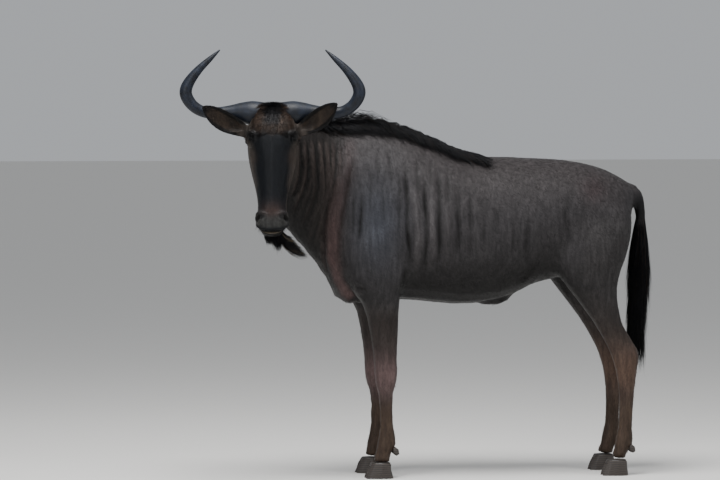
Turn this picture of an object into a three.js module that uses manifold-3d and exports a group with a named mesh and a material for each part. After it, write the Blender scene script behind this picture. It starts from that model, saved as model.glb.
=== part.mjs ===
// A blue wildebeest bull at life size, standing square with its head turned to its left.
// Millimetres, +Z up. The body lies along X with the tail towards +X; its left side is -Y.
// The origin is on the ground, under the middle of the whole animal's outline.
import * as THREE from "three";
import { mergeVertices } from "three/addons/utils/BufferGeometryUtils.js";
import Module from "manifold-3d";

const wasm = await Module();
wasm.setup();

// Driving sizes of the body, in a frame whose x = 0 is mid trunk.
const OUTLINE_MIDDLE = { x: -269.5, y: -123.5 }; // of the whole animal seen from above
const GAP = 0.3; // left between two pieces that touch
const GROW = 0.45; // what a cutting copy is grown by, so that GAP stays open on slopes too
const FORE_STANCE = 123; // half the distance between the two forelegs
const HIND_STANCE = 127;
const NECK_CUT = { x: -505, z: 1080, lean: 13 }; // where neck and trunk part, degrees from upright
const FORE_CUT = 652; // height at which a foreleg leaves the trunk
const HIND_CUT = 762;
const KNEE_CUT = 402; // middle of the knee, where forearm and cannon part
const HOCK_CUT = 430;
const CORONET = 62; // top of the hoof wall

// The head's own frame: x to the head's left, y backwards, z up, origin midway between the eyes.
const HEAD_PLACE = new THREE.Vector3(-861, -370, 1309);
const HEAD_YAW = -8.5; // degrees from looking straight along -Y
const EYE = { x: 84, y: 8, z: 0, r: 19 };

const rad = THREE.MathUtils.degToRad;
const vec = (x, y, z) => new THREE.Vector3(x, y, z);

// Catmull-Rom through a list of numbers, u from 0 to its last index.
function spline(values, u) {
  const last = values.length - 1;
  const i = Math.min(Math.floor(u), last - 1);
  const t = u - i;
  const [a, b, c, d] = [i - 1, i, i + 1, i + 2].map((k) => values[Math.max(0, Math.min(last, k))]);
  const cubic = 3 * (b - c) + d - a;
  return b + 0.5 * t * (c - a + t * (2 * a - 5 * b + 4 * c - d + t * cubic));
}

// A station is one section of a loft: two opposite points, the half width between them, where
// along the line from the second point to the first it is widest, and its roundness at both ends.
function station(near, far, half, wide, round, yaw = 0) {
  return [...near, ...far, half, wide, ...round, yaw];
}

function stationAt(stations, u) {
  return stations[0].map((_, column) => spline(stations.map((row) => row[column]), u));
}

// A point of the section at u, angle 0 at its first point and 90 degrees on its +side.
function sectionPoint(stations, u, angle, grow = 0) {
  const [ax, ay, az, bx, by, bz, half, wide, p, q, yaw] = stationAt(stations, u);
  const first = vec(ax, ay, az);
  const second = vec(bx, by, bz);
  const up = first.clone().sub(second);
  const height = up.length();
  up.normalize();
  const widest = second.clone().addScaledVector(up, height * wide);
  const side = vec(-Math.sin(rad(yaw)), Math.cos(rad(yaw)), 0);
  const [c, s] = [Math.cos(angle), Math.sin(angle)];
  const power = 2 / (c >= 0 ? p : q);
  const reach = (c >= 0 ? height * (1 - wide) : height * wide) + grow;
  return widest
    .addScaledVector(up, Math.sign(c) * Math.abs(c) ** power * reach)
    .addScaledVector(side, Math.sign(s) * Math.abs(s) ** power * (half + grow));
}

const middleOf = (ring) =>
  ring.reduce((sum, p) => sum.add(p), vec(0, 0, 0)).divideScalar(ring.length);

// A closed surface through rings of equal length, each an array of points, with a fan at each end.
function skinRings(rings) {
  const sides = rings[0].length;
  const points = rings.flat();
  points.push(middleOf(rings[0]), middleOf(rings.at(-1)));
  const faces = [];
  for (let k = 0; k < sides; k++) {
    const next = (k + 1) % sides;
    faces.push(points.length - 2, next, k);
    for (let r = 0; r < rings.length - 1; r++) {
      const [a, b] = [r * sides, (r + 1) * sides];
      faces.push(a + k, a + next, b + next, a + k, b + next, b + k);
    }
    const end = (rings.length - 1) * sides;
    faces.push(points.length - 1, end + k, end + next);
  }
  const geometry = new THREE.BufferGeometry().setFromPoints(points);
  geometry.setIndex(faces);
  return solid(geometry);
}

// A geometry as a manifold solid, with its shared vertices merged and its faces pointing out.
function solid(geometry) {
  const bare = new THREE.BufferGeometry();
  bare.setAttribute("position", geometry.getAttribute("position"));
  bare.setIndex(geometry.index);
  const merged = mergeVertices(bare, 1e-3);
  const triVerts = new Uint32Array(merged.index.array);
  const vertProperties = new Float32Array(merged.attributes.position.array);
  const made = new wasm.Manifold(new wasm.Mesh({ numProp: 3, vertProperties, triVerts }));
  if (made.volume() > 0) return made;
  for (let i = 0; i < triVerts.length; i += 3) {
    [triVerts[i + 1], triVerts[i + 2]] = [triVerts[i + 2], triVerts[i + 1]];
  }
  return new wasm.Manifold(new wasm.Mesh({ numProp: 3, vertProperties, triVerts }));
}

const join = (...solids) => solids.flat().reduce((a, b) => a.add(b));
const cut = (a, ...tools) => tools.flat().reduce((rest, tool) => rest.subtract(tool), a);
const largest = (a) => a.decompose().sort((p, q) => q.volume() - p.volume())[0];

function loft(stations, rings, sides, grow = 0) {
  const last = stations.length - 1;
  const rows = Array.from({ length: rings }, (_, r) =>
    Array.from({ length: sides }, (_, k) =>
      sectionPoint(stations, (last * r) / (rings - 1), (2 * Math.PI * k) / sides, grow),
    ),
  );
  if (grow > 0) {
    moveAway(rows[0], rows[1], grow);
    moveAway(rows.at(-1), rows.at(-2), grow);
  }
  return skinRings(rows);
}

// Moves a ring away from its neighbour, so that a grown copy is longer as well as thicker.
function moveAway(ring, neighbour, distance) {
  const outwards = middleOf(ring).sub(middleOf(neighbour)).normalize();
  ring.forEach((point) => point.addScaledVector(outwards, distance));
}

function ellipsoid(centre, radii, turn = [0, 0, 0], sides = 10) {
  const geometry = new THREE.SphereGeometry(1, sides, Math.round(sides * 0.7));
  geometry.scale(...radii);
  return solid(placed(geometry, centre, turn));
}

function block(centre, size, turn = [0, 0, 0]) {
  return solid(placed(new THREE.BoxGeometry(...size), centre, turn));
}

function placed(geometry, centre, turn) {
  const turned = new THREE.Matrix4().makeRotationFromEuler(new THREE.Euler(...turn.map(rad)));
  return geometry.applyMatrix4(turned.setPosition(...centre));
}

// The same solid through a matrix, such as a head's piece in the body's frame.
function moved(part, matrix) {
  return solid(geometryOf(part).applyMatrix4(matrix));
}

function geometryOf(part) {
  const mesh = part.getMesh();
  const count = mesh.numProp;
  const places = new Float32Array(mesh.numVert * 3);
  for (let i = 0; i < mesh.numVert; i++) {
    places.set(mesh.vertProperties.subarray(i * count, i * count + 3), i * 3);
  }
  const geometry = new THREE.BufferGeometry();
  geometry.setAttribute("position", new THREE.BufferAttribute(places, 3));
  geometry.setIndex(new THREE.BufferAttribute(new Uint32Array(mesh.triVerts), 1));
  return geometry;
}

// Coat and horn colours.
const COAT = { slate: "#3f3a38", umber: "#4a3a33", face: "#1d1b1d", black: "#141317" };
const HORN = "#33353b";
const HOOF = "#26221f";

function mesh(name, part, color, roughness = 0.75) {
  const geometry = geometryOf(largest(part));
  geometry.computeVertexNormals();
  const made = new THREE.Mesh(geometry, new THREE.MeshStandardMaterial({ color, roughness }));
  made.name = name;
  return made;
}

// Trunk and neck are one form from the rump to the poll. Each row is a point of the back line,
// the point of the belly or throat line under it, half width, widest level, roundness and turn.
const TRUNK = [
  station([608, 0, 1094], [600, 0, 1024], 22, 0.5, [2, 2]),
  station([594, 0, 1126], [578, 0, 945], 82, 0.55, [2, 2]),
  station([550, 0, 1160], [530, 0, 850], 138, 0.55, [1.9, 2]),
  station([462, 0, 1199], [450, 0, 786], 186, 0.58, [1.8, 2.1]),
  station([345, 0, 1224], [345, 0, 768], 208, 0.56, [1.75, 2.2]),
  station([225, 0, 1233], [225, 0, 748], 222, 0.5, [1.8, 2.2]),
  station([90, 0, 1238], [90, 0, 686], 240, 0.46, [1.85, 2.2]),
  station([-55, 0, 1244], [-55, 0, 664], 246, 0.46, [1.85, 2.2]),
  station([-190, 0, 1306], [-190, 0, 672], 240, 0.44, [1.7, 2.2]),
  station([-305, 0, 1356], [-320, 0, 684], 230, 0.44, [1.6, 2.2]),
  station([-395, 0, 1378], [-430, 0, 664], 218, 0.46, [1.55, 2.1]),
  station([-455, 0, 1382], [-535, 0, 692], 200, 0.48, [1.6, 2]),
  station([-510, 0, 1376], [-610, -4, 778], 172, 0.5, [1.7, 2]),
  station([-590, -12, 1370], [-664, -22, 852], 142, 0.52, [1.8, 1.9], 15),
  station([-678, -45, 1374], [-718, -65, 912], 122, 0.55, [1.9, 1.8], 32),
  station([-758, -100, 1384], [-770, -122, 975], 108, 0.58, [2, 1.8], 50),
  station([-820, -172, 1392], [-815, -196, 1070], 98, 0.58, [2, 1.9], 68),
  station([-850, -238, 1384], [-842, -258, 1170], 80, 0.55, [2, 2], 80),
];
const trunkWith = (grow) => loft(TRUNK, 31, 20, grow);

// A leg's rows: height, front and back of the section, middle of its width, half width, roundness.
const legStations = (rows, side) =>
  rows.map(([z, front, back, middle, half, round]) =>
    station([front, side * middle, z], [back, side * middle, z], half, 0.5, [round, round]),
  );
const FORELEG = [
  [1190, -440, -345, 66, 40, 2],
  [1050, -505, -322, 122, 72, 2],
  [915, -562, -312, 138, 90, 2.1],
  [800, -556, -322, 137, 87, 2.2],
  [715, -512, -332, 132, 72, 2.2],
  [650, -472, -338, FORE_STANCE + 3, 56, 2.1],
  [555, -450, -341, FORE_STANCE + 1, 47, 2.1],
  [460, -437, -345, FORE_STANCE, 40, 2.2],
  [405, -435, -343, FORE_STANCE, 42, 2.5],
  [360, -429, -350, FORE_STANCE - 1, 37, 2.4],
  [318, -417, -361, FORE_STANCE - 1, 24, 2.2],
  [210, -411, -360, FORE_STANCE - 2, 22, 2.2],
  [150, -419, -349, FORE_STANCE - 2, 30, 2.2],
  [120, -425, -352, FORE_STANCE - 2, 31, 2.2],
  [92, -432, -370, FORE_STANCE - 2, 26, 2.2],
  [CORONET + GAP, -448, -371, FORE_STANCE - 2, 35, 2.3],
];
const HINDLEG = [
  [1120, 410, 552, 58, 44, 2],
  [1040, 345, 578, 100, 78, 2.1],
  [950, 290, 580, 118, 96, 2.2],
  [862, 262, 560, 128, 98, 2.2],
  [790, 276, 533, 133, 84, 2.2],
  [735, 318, 519, 135, 74, 2.1],
  [680, 361, 519, 135, 64, 2.1],
  [612, 413, 533, 133, 53, 2.1],
  [545, 455, 564, HIND_STANCE + 3, 43, 1.9],
  [490, 484, 600, HIND_STANCE, 38, 1.9],
  [450, 500, 605, HIND_STANCE, 40, 2.1],
  [400, 515, 598, HIND_STANCE, 38, 2.1],
  [340, 524, 590, HIND_STANCE, 29, 2.1],
  [270, 527, 584, HIND_STANCE, 25, 2.2],
  [190, 524, 580, HIND_STANCE - 1, 24, 2.2],
  [148, 514, 583, HIND_STANCE - 1, 30, 2.2],
  [118, 508, 580, HIND_STANCE - 1, 31, 2.2],
  [92, 500, 562, HIND_STANCE - 1, 26, 2.2],
  [CORONET + GAP, 480, 556, HIND_STANCE - 1, 35, 2.3],
];

// Shoulder muscle, elbow, stifle, sheath and breast swell the plain lofts.
function fleshSwells(side) {
  return [
    ellipsoid([-352, side * 146, 786], [40, 62, 84], [0, 12, 0]), // point of the elbow
    ellipsoid([-520, side * 112, 880], [58, 78, 105], [0, 8, 0]), // point of the shoulder
    ellipsoid([352, side * 152, 832], [62, 54, 84], [0, 24, 0]), // stifle
  ];
}
const SHEATH = { place: [44, 0, 693], radii: [92, 38, 35] };
const BRISKET = { place: [-500, 0, 742], radii: [84, 88, 74] };
const sheath = ellipsoid(SHEATH.place, SHEATH.radii);
const brisket = ellipsoid(BRISKET.place, BRISKET.radii);

const SIDES = [
  { name: "left", side: -1 },
  { name: "right", side: 1 },
];
const legs = SIDES.flatMap(({ name, side }) => [
  { name, kind: "fore", side, rows: FORELEG, bend: KNEE_CUT, top: FORE_CUT },
  { name, kind: "hind", side, rows: HINDLEG, bend: HOCK_CUT, top: HIND_CUT },
]);
const legWith = (leg, grow) => {
  const stations = legStations(leg.rows, leg.side);
  return loft(stations, Math.round(leg.rows.length * 1.5), 12, grow);
};

// The head's rows: a point down the face, the point of the throat or jaw behind it, half width,
// widest level counted from the jaw, and roundness of the face's side and the jaw's side.
const HEAD = [
  [58, 128, 100, 122, 34, 0.5, 2, 2],
  [24, 116, 130, 100, 70, 0.55, 2.2, 2],
  [-4, 80, 150, 64, 86, 0.6, 2.4, 2],
  [-25, 36, 160, 12, 95, 0.6, 2.4, 2],
  [-40, -6, 160, -42, 97, 0.58, 2.1, 2],
  [-54, -52, 146, -92, 93, 0.5, 1.8, 2.1],
  [-68, -106, 108, -146, 81, 0.48, 1.8, 2.1],
  [-82, -160, 66, -198, 66, 0.47, 1.9, 2.1],
  [-95, -212, 32, -242, 57, 0.48, 2.1, 2.2],
  [-104, -246, 12, -272, 56, 0.5, 2.4, 2.2],
  [-113, -276, -6, -300, 61, 0.52, 2.7, 2.2],
  [-119, -306, -20, -326, 62, 0.52, 2.7, 2.2],
  [-114, -334, -36, -346, 56, 0.5, 2.3, 2.1],
  [-100, -353, -50, -358, 36, 0.5, 2, 2],
  [-88, -362, -62, -364, 18, 0.5, 2, 2],
].map(([y, z, backY, backZ, half, wide, front, back]) =>
  station([0, y, z], [0, backY, backZ], half, wide, [front, back], -90),
);
const headWith = (grow) => loft(HEAD, 24, 16, grow);
const headMatrix = new THREE.Matrix4()
  .makeRotationZ(rad(HEAD_YAW))
  .setPosition(HEAD_PLACE.x, HEAD_PLACE.y, HEAD_PLACE.z);

// A horn runs out sideways, dips, turns up and leans in to its tip. Rows: x, y, z, radius.
const HORN_ROWS = [
  [34, 74, 98, 44],
  [80, 76, 101, 46],
  [120, 78, 103, 38],
  [160, 78, 102, 29],
  [211, 76, 100, 23.5],
  [263, 74, 106, 21.5],
  [301, 66, 128, 22],
  [324, 58, 160, 23.5],
  [328, 55, 189, 23.5],
  [313, 55, 223, 20.5],
  [279, 58, 266, 15.5],
  [236, 64, 307, 10],
  [200, 72, 340, 2.5],
];
function hornWith(side, grow) {
  const rows = HORN_ROWS.map(([x, y, z, r]) => [side * x, y, z, r]);
  return tube(rows, 24, 10, grow);
}

// A round tube through rows of x, y, z and radius, with its seam kept in one plane.
function tube(rows, rings, sides, grow = 0, seam = vec(0, 1, 0)) {
  const last = rows.length - 1;
  const at = (u) => [0, 1, 2, 3].map((c) => spline(rows.map((row) => row[c]), u));
  const step = 0.01;
  return skinRings(
    Array.from({ length: rings }, (_, r) => {
      const u = (last * r) / (rings - 1);
      const [x, y, z, radius] = at(u);
      const ahead = vec(...at(Math.min(last, u + step)));
      const along = ahead.sub(vec(...at(Math.max(0, u - step)))).normalize();
      const across = along.clone().cross(seam).normalize();
      const other = across.clone().cross(along);
      const end = r === 0 ? -grow : r === rings - 1 ? grow : 0;
      return Array.from({ length: sides }, (_, k) => {
        const angle = (2 * Math.PI * k) / sides;
        return vec(x, y, z)
          .addScaledVector(along, end)
          .addScaledVector(across, Math.cos(angle) * (radius + grow))
          .addScaledVector(other, Math.sin(angle) * (radius + grow));
      });
    }),
  );
}

// An ear is a leaf folded to a cup that opens forwards, its tip in front of the horn. Rows: share
// of its length, half width, depth of the fold, and how much of the section is hollow.
const EAR_ROOT = { x: 80, y: 50, z: 24 };
const EAR_TIPS = { left: { x: 244, y: -8, z: 137 }, right: { x: 262, y: -8, z: 125 } };
const EAR_SKIN = 3.4;
const EAR_ROWS = [
  [0, 22, 24, 0.05],
  [0.12, 25, 25, 0.1],
  [0.24, 30, 24, 0.55],
  [0.38, 36, 22, 0.84],
  [0.54, 39, 19, 0.88],
  [0.7, 36, 16, 0.88],
  [0.84, 27, 12, 0.84],
  [0.94, 15, 8, 0.7],
  [1, 4, 4, 0.3],
];
function earWith(side, grow) {
  const tipPlace = side > 0 ? EAR_TIPS.left : EAR_TIPS.right;
  const root = vec(side * EAR_ROOT.x, EAR_ROOT.y, EAR_ROOT.z);
  const tip = vec(side * tipPlace.x, tipPlace.y, tipPlace.z);
  const along = tip.clone().sub(root).normalize();
  const across = along.clone().cross(vec(0, -side, 0)).normalize(); // towards the lower rim
  const back = along.clone().cross(across).multiplyScalar(side);
  const half = 6;
  const rings = 12;
  return skinRings(
    Array.from({ length: rings }, (_, r) => {
      const u = ((EAR_ROWS.length - 1) * r) / (rings - 1);
      const [share, width, depth, hollow] = [0, 1, 2, 3].map((c) =>
        spline(EAR_ROWS.map((row) => row[c]), u),
      );
      const droop = 9 * Math.sin(Math.PI * share); // the lower rim bulges more
      const middle = root
        .clone()
        .lerp(tip, share)
        .addScaledVector(across, droop)
        .addScaledVector(along, r === 0 ? -grow : 0);
      const arc = (k, w, d, reach, ahead = 0) => {
        const angle = rad(-reach + (2 * reach * k) / half);
        return middle
          .clone()
          .addScaledVector(across, Math.sin(angle) * w)
          .addScaledVector(back, Math.cos(angle) * d - ahead);
      };
      const outer = Array.from({ length: half + 1 }, (_, k) => arc(k, width + grow, depth + grow, 97));
      const inner = Array.from({ length: half + 1 }, (_, k) =>
        grow // a cutting copy isn't hollow: its front is flat, a little ahead of the rim
          ? arc(half - k, width + grow, 0, 85, 0.2 * depth + 2)
          : arc(half - k, Math.max(1, width * hollow - EAR_SKIN), depth * hollow - EAR_SKIN, 85),
      );
      return [...outer, ...inner];
    }),
  );
}

// Face: brow and lids round each eye, wings round each nostril, and the slit of the mouth.
function torus(centre, radius, thick, turn, squash = [1, 1, 1]) {
  const geometry = new THREE.TorusGeometry(radius, thick, 6, 12);
  geometry.scale(...squash);
  return solid(placed(geometry, centre, turn));
}
const eyeWith = (side, grow) =>
  ellipsoid([side * EYE.x, EYE.y, EYE.z], Array(3).fill(EYE.r + grow), [0, 0, 0], 12);
function faceSwells(side) {
  return [
    ellipsoid([side * 73, EYE.y + 2, EYE.z + 1], [24, 35, 34], [0, 0, side * 14]), // eye socket
    ellipsoid([side * 76, EYE.y - 2, EYE.z + 26], [22, 28, 12], [0, side * -22, 0]), // brow
    torus([side * 91, EYE.y, EYE.z - 1], 17.5, 4.6, [0, side * 78, 0], [0.84, 1.16, 1]), // lids
    ellipsoid([side * 68, 66, -72], [22, 52, 60]), // cheek muscle
    ellipsoid([side * 44, -94, -290], [21, 24, 30], [0, 0, side * 20]), // nostril wing
  ];
}
const NOSTRIL = { x: 57, y: -108, z: -288, radii: [10, 15, 19] };
const nostril = (side) =>
  ellipsoid([side * NOSTRIL.x, NOSTRIL.y, NOSTRIL.z], NOSTRIL.radii, [14, 0, side * -32], 12);
const MOUTH = { y: -86, z: -330, wide: 180, long: 90, slit: 2.4, lean: 26 };
const mouth = block([0, MOUTH.y, MOUTH.z], [MOUTH.wide, MOUTH.long, MOUTH.slit], [MOUTH.lean, 0, 0]);
const lips = ellipsoid([0, -90, -344], [40, 26, 13], [18, 0, 0]);
const chin = ellipsoid([0, -64, -344], [34, 32, 19], [20, 0, 0]);

const both = SIDES.map(({ side }) => side);
const headCore = (grow) => join(headWith(grow), chinAndCheeks(grow));
function chinAndCheeks(grow) {
  const cheeks = both.map((side) => ellipsoid([side * 68, 66, -72], [22, 52, 60].map((r) => r + grow)));
  return [...cheeks, chin, lips];
}
const head = cut(
  join(headWith(0), both.flatMap(faceSwells), chin, lips),
  both.map((side) => eyeWith(side, GROW)),
  both.map((side) => hornWith(side, GROW)),
  both.map((side) => earWith(side, GROW)),
  both.map(nostril),
  mouth,
);
const headInBody = moved(headCore(GROW), headMatrix);

// Hooves are cloven: two toes under one coronet band. Rows: height, front, back, half width.
function hoof({ kind, side }) {
  const fore = kind === "fore";
  const [toe, heel] = fore ? [-472, -360] : [456, 562];
  const [front, back] = fore ? [-448, -371] : [480, 556];
  const middle = side * (fore ? FORE_STANCE - 2 : HIND_STANCE - 1);
  const claw = (inward) => {
    const y = middle + inward * 22.5;
    const row = (z, a, b, half) =>
      station([a, y - inward * (z > 30 ? 3 : 0), z], [b, y, z], half, 0.42, [1.7, 2.6]);
    return loft(
      [row(CORONET - 6, front, back, 17), row(34, (front + toe) / 2, back + 1, 19), row(0, toe, heel, 20)],
      3,
      8,
    );
  };
  const band = [CORONET, CORONET - 16].map((z, i) =>
    station([front - i * 4, middle, z], [back, middle, z], 35 + i * 2, 0.5, [2.3, 2.3]),
  );
  return join(claw(-1), claw(1), loft(band, 2, 12));
}

// Two dewclaws hang behind each fetlock.
function dewclaw({ kind, side }, inward) {
  const fore = kind === "fore";
  const x = fore ? -352 : 576;
  const y = side * (fore ? FORE_STANCE - 2 : HIND_STANCE - 1) + inward * 19;
  return ellipsoid([x, y, 104], [14, 12, 20], [0, -28, inward * -12], 6);
}

// The tail's fleshy dock hangs clear of the buttocks. Rows: x, y, z, radius.
const DOCK = [
  [560, 0, 1106, 34],
  [598, 0, 1100, 32],
  [628, 0, 1066, 27],
  [638, 0, 1000, 21],
  [636, 0, 920, 16],
  [630, 0, 830, 12],
  [625, 0, 745, 7],
];
const dockWith = (grow) => tube(DOCK, 12, 9, grow);

// Whole flesh of trunk, neck and legs, and the thin cuts that part it.
const legsWhole = legs.map((leg) => legWith(leg, 0));
const flesh = join(trunkWith(0), legsWhole, both.flatMap(fleshSwells), sheath, brisket);
const neckSlab = block(
  [NECK_CUT.x, 0, NECK_CUT.z],
  [GAP, 900, 1100],
  [0, NECK_CUT.lean, 0],
);
const legSlabs = legs.flatMap((leg) => {
  const fore = leg.kind === "fore";
  const x = fore ? -410 : 420;
  const long = fore ? 190 : 380;
  const y = leg.side * 152;
  return [
    block([x, y, leg.top], [long, 220, GAP]),
    block([fore ? -390 : 540, y, leg.bend], [200, 220, GAP]),
  ];
});
const pieces = cut(flesh, neckSlab, legSlabs, headInBody).decompose();

function pieceAt(x, y, z) {
  const probe = block([x, y, z], [16, 16, 16]);
  return pieces.find((piece) => piece.intersect(probe).volume() > 1);
}

const grownFlesh = join(
  trunkWith(GROW),
  legs.map((leg) => legWith(leg, GROW)),
);

// Long hair: flat tapered locks rooted in a low core, each lying over the ones before it.
let seed = 7;
function random(low, high) {
  seed = (seed * 16807) % 2147483647;
  return low + ((high - low) * seed) / 2147483647;
}
const LOCK_STEPS = [0, 0.36, 0.7, 1]; // where a lock has a ring, root to tip
const LOCK_WIDTHS = [0.8, 1, 0.76, 0.07]; // share of its full width there

// A lock through its points: flat beneath, with a low ridge on the side that its normals face.
function lock(points, normals, width, thick) {
  return skinRings(
    points.map((point, i) => {
      const before = points[Math.max(0, i - 1)];
      const after = points[Math.min(points.length - 1, i + 1)];
      const along = after.clone().sub(before).normalize();
      const across = along.clone().cross(normals[i]).normalize();
      const out = across.clone().cross(along);
      const [w, t] = [width * LOCK_WIDTHS[i], thick * Math.max(0.12, LOCK_WIDTHS[i])];
      return [
        point.clone().addScaledVector(across, w / 2).addScaledVector(out, -t / 3),
        point.clone().addScaledVector(out, (2 * t) / 3),
        point.clone().addScaledVector(across, -w / 2).addScaledVector(out, -t / 3),
      ];
    }),
  );
}

// A lock that lies along a lofted form, from one place on it to another; lift is how far it stands
// off at its root, its middle and its tip.
function lyingLock(stations, from, to, lift, width, thick) {
  const place = (t, off) =>
    sectionPoint(
      stations,
      THREE.MathUtils.lerp(from.u, to.u, t),
      rad(THREE.MathUtils.lerp(from.a, to.a, t ** 1.25)),
      off,
    );
  const points = LOCK_STEPS.map((t) => place(t, spline(lift, 2 * t)));
  const normals = LOCK_STEPS.map((t, i) => place(t, 40).sub(points[i]).normalize());
  return lock(points, normals, width, thick);
}

// A lock that hangs free from root to tip, bowed to one side on its way.
function hangingLock(root, tip, bow, facing, width, thick) {
  const points = LOCK_STEPS.map((t) =>
    root.clone().lerp(tip, t).addScaledVector(bow, 4 * t * (1 - t)),
  );
  return lock(points, points.map(() => facing), width, thick);
}

// The mane runs along the crest from the poll to behind the withers and falls to the left.
const MANE = { locks: 21, poll: 16.5, end: 8.1, width: 50, thick: 12, core: 11, coreEnd: 4 };
const MANE_CORE = [16.7, 16, 15, 14, 13, 12, 11, 10, 9, 8];
const maneCore = tube(
  MANE_CORE.map((u, i) => {
    const at = sectionPoint(TRUNK, u, rad(-7), 1);
    return [at.x, at.y, at.z, i === MANE_CORE.length - 1 ? MANE.coreEnd : MANE.core];
  }),
  13,
  6,
);
const maneLocks = Array.from({ length: MANE.locks }, (_, i) => {
  const u = THREE.MathUtils.lerp(MANE.poll, MANE.end, (i + random(-0.3, 0.3)) / (MANE.locks - 1));
  const upper = i % 3 === 0; // every third lock stands up along the crest
  const from = { u, a: upper ? random(-4, 1) : random(-8, -3) };
  const reach = (u > 12 ? 1.25 : 1.05) * random(0.85, 1.15);
  const to = { u: u - reach, a: upper ? random(-13, -4) : random(-36, -24) };
  const lift = upper ? [7, 15, 8] : [8, 13, 6];
  return lyingLock(TRUNK, from, to, lift, MANE.width * random(0.85, 1.1), MANE.thick);
});
const mane = cut(join(maneCore, maneLocks), grownFlesh, headInBody);

// The tail's brush: locks hang from a core round the dock down to a long thin point.
const BRUSH_CORE = [
  [638, 0, 992, 23],
  [637, 0, 920, 20],
  [632, 0, 830, 19],
  [627, 0, 745, 19],
  [620, 0, 690, 14],
  [618, 0, 640, 5],
];
const brushOutline = [ // height, middle along X, half width of the hanging hair
  [1000, 638, 22],
  [875, 631, 30],
  [760, 622, 38],
  [660, 616, 47],
  [570, 618, 42],
  [500, 628, 24],
  [420, 640, 9],
  [330, 646, 3],
];
function brushAt(z) {
  const i = Math.max(0, brushOutline.findIndex(([height]) => height <= z) - 1);
  const [a, b] = [brushOutline[i], brushOutline[Math.min(i + 1, brushOutline.length - 1)]];
  const t = a[0] === b[0] ? 0 : (a[0] - z) / (a[0] - b[0]);
  return { x: a[1] + (b[1] - a[1]) * t, half: a[2] + (b[2] - a[2]) * t };
}
const brushLocks = Array.from({ length: 14 }, (_, i) => {
  const round = i * 2.4 + random(-0.2, 0.2); // turns about the core
  const high = THREE.MathUtils.lerp(975, 700, i / 13);
  const low = Math.max(345, high - random(235, 300) - (i > 10 ? 60 : 0));
  const out = vec(Math.cos(round), Math.sin(round), 0);
  const [top, foot] = [brushAt(high), brushAt(low)];
  const root = vec(top.x, 0, high).addScaledVector(out, 9);
  const tip = vec(foot.x, 0, low).addScaledVector(out, foot.half * 0.92);
  const middle = brushAt((high + low) / 2);
  const bow = out.clone().multiplyScalar(middle.half - (9 + foot.half * 0.92) / 2 - 3);
  bow.x += middle.x - (top.x + foot.x) / 2;
  return hangingLock(root, tip, bow, out, random(38, 46), 11);
});
const tailBrush = cut(join(tube(BRUSH_CORE, 8, 6), brushLocks), dockWith(GROW), grownFlesh);

// The beard hangs from the chin back along the lower jaw; its longest locks are at the throat end
// and are blown to the animal's left.
const BEARD_CORE = [
  [0, -66, -356, 8],
  [0, -42, -352, 20],
  [2, -12, -330, 21],
  [4, 14, -302, 18],
  [4, 34, -276, 6],
];
const beardLocks = Array.from({ length: 13 }, (_, i) => {
  const back = i / 12; // 0 at the chin, 1 at the throat
  const inCore = spline([0, 1, 2, 3, 4].map((k) => BEARD_CORE[k][1]), 0.6 + 3 * back);
  const height = spline([0, 1, 2, 3, 4].map((k) => BEARD_CORE[k][2]), 0.6 + 3 * back);
  const across = i % 3 === 0 ? -14 : i % 3 === 1 ? 0 : 14;
  const long = THREE.MathUtils.lerp(46, 158, back ** 1.1) * random(0.8, 1.08);
  const blown = back > 0.4 ? random(40, 100) * back : random(-10, 8);
  const root = vec(across * 0.8, inCore, height - 4);
  const tip = vec(across * 1.5 + blown, inCore + random(-4, 12), height - long);
  const facing = vec(across * 0.05 + random(-0.3, 0.3), across === 0 ? -1 : -0.6, 0).normalize();
  return hangingLock(root, tip, vec(across * 0.3 - blown * 0.22, 3, -3), facing, random(21, 28), 8);
});
const beard = cut(join(tube(BEARD_CORE, 8, 6), beardLocks), headCore(GROW));

// The forelock fills the space between the horns and falls over the forehead and the bosses.
const forelockLocks = Array.from({ length: 9 }, (_, i) => {
  const turn = THREE.MathUtils.lerp(-84, 84, i / 8) + random(-4, 4);
  const short = i % 4 === 3;
  const from = { u: 0.35, a: turn * 0.55 };
  const to = { u: short ? 1.5 : random(1.9, 2.25), a: turn * 0.8 };
  return lyingLock(HEAD, from, to, short ? [6, 24, 26] : [4, 13, 5], random(33, 39), 9);
});
const forelock = cut(
  join(ellipsoid([0, 56, 124], [52, 32, 24], [0, 0, 0], 8), forelockLocks),
  headCore(GROW),
  both.map((side) => hornWith(side, GROW)),
);

// The scene graph: body pieces, a turned head group, and a group for each leg.
const animal = new THREE.Group();
animal.name = "wildebeest";
animal.add(
  mesh("torso", pieceAt(100, 0, 950), COAT.slate),
  mesh("neck", pieceAt(-640, -30, 1150), COAT.slate),
  mesh("mane", mane, COAT.black),
  mesh("tail_dock", cut(dockWith(0), grownFlesh), COAT.black),
  mesh("tail_brush", tailBrush, COAT.black),
);
for (const leg of legs) {
  const label = `${leg.name}_${leg.kind}`;
  const fore = leg.kind === "fore";
  const y = leg.side * (fore ? FORE_STANCE : HIND_STANCE);
  const group = new THREE.Group();
  const legMiddle = fore ? -390 : 555;
  group.add(
    mesh(`${label}leg_upper`, pieceAt(fore ? -390 : 470, y, fore ? 560 : 590), COAT.umber),
    mesh(`${label}leg_lower`, pieceAt(legMiddle, y, 260), COAT.umber),
    mesh(`${label}_hoof`, hoof(leg), HOOF, 0.5),
  );
  for (const [place, inward] of [["inner", -leg.side], ["outer", leg.side]]) {
    const claw = cut(dewclaw(leg, inward), legWith(leg, GROW));
    group.add(mesh(`${label}_dewclaw_${place}`, claw, HOOF, 0.5));
  }
  animal.add(group);
}
const headGroup = new THREE.Group();
headGroup.position.copy(HEAD_PLACE);
headGroup.rotation.z = rad(HEAD_YAW);
headGroup.add(
  mesh("head", head, COAT.face),
  mesh("forelock", forelock, COAT.umber),
  mesh("beard", beard, COAT.black),
);
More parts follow.
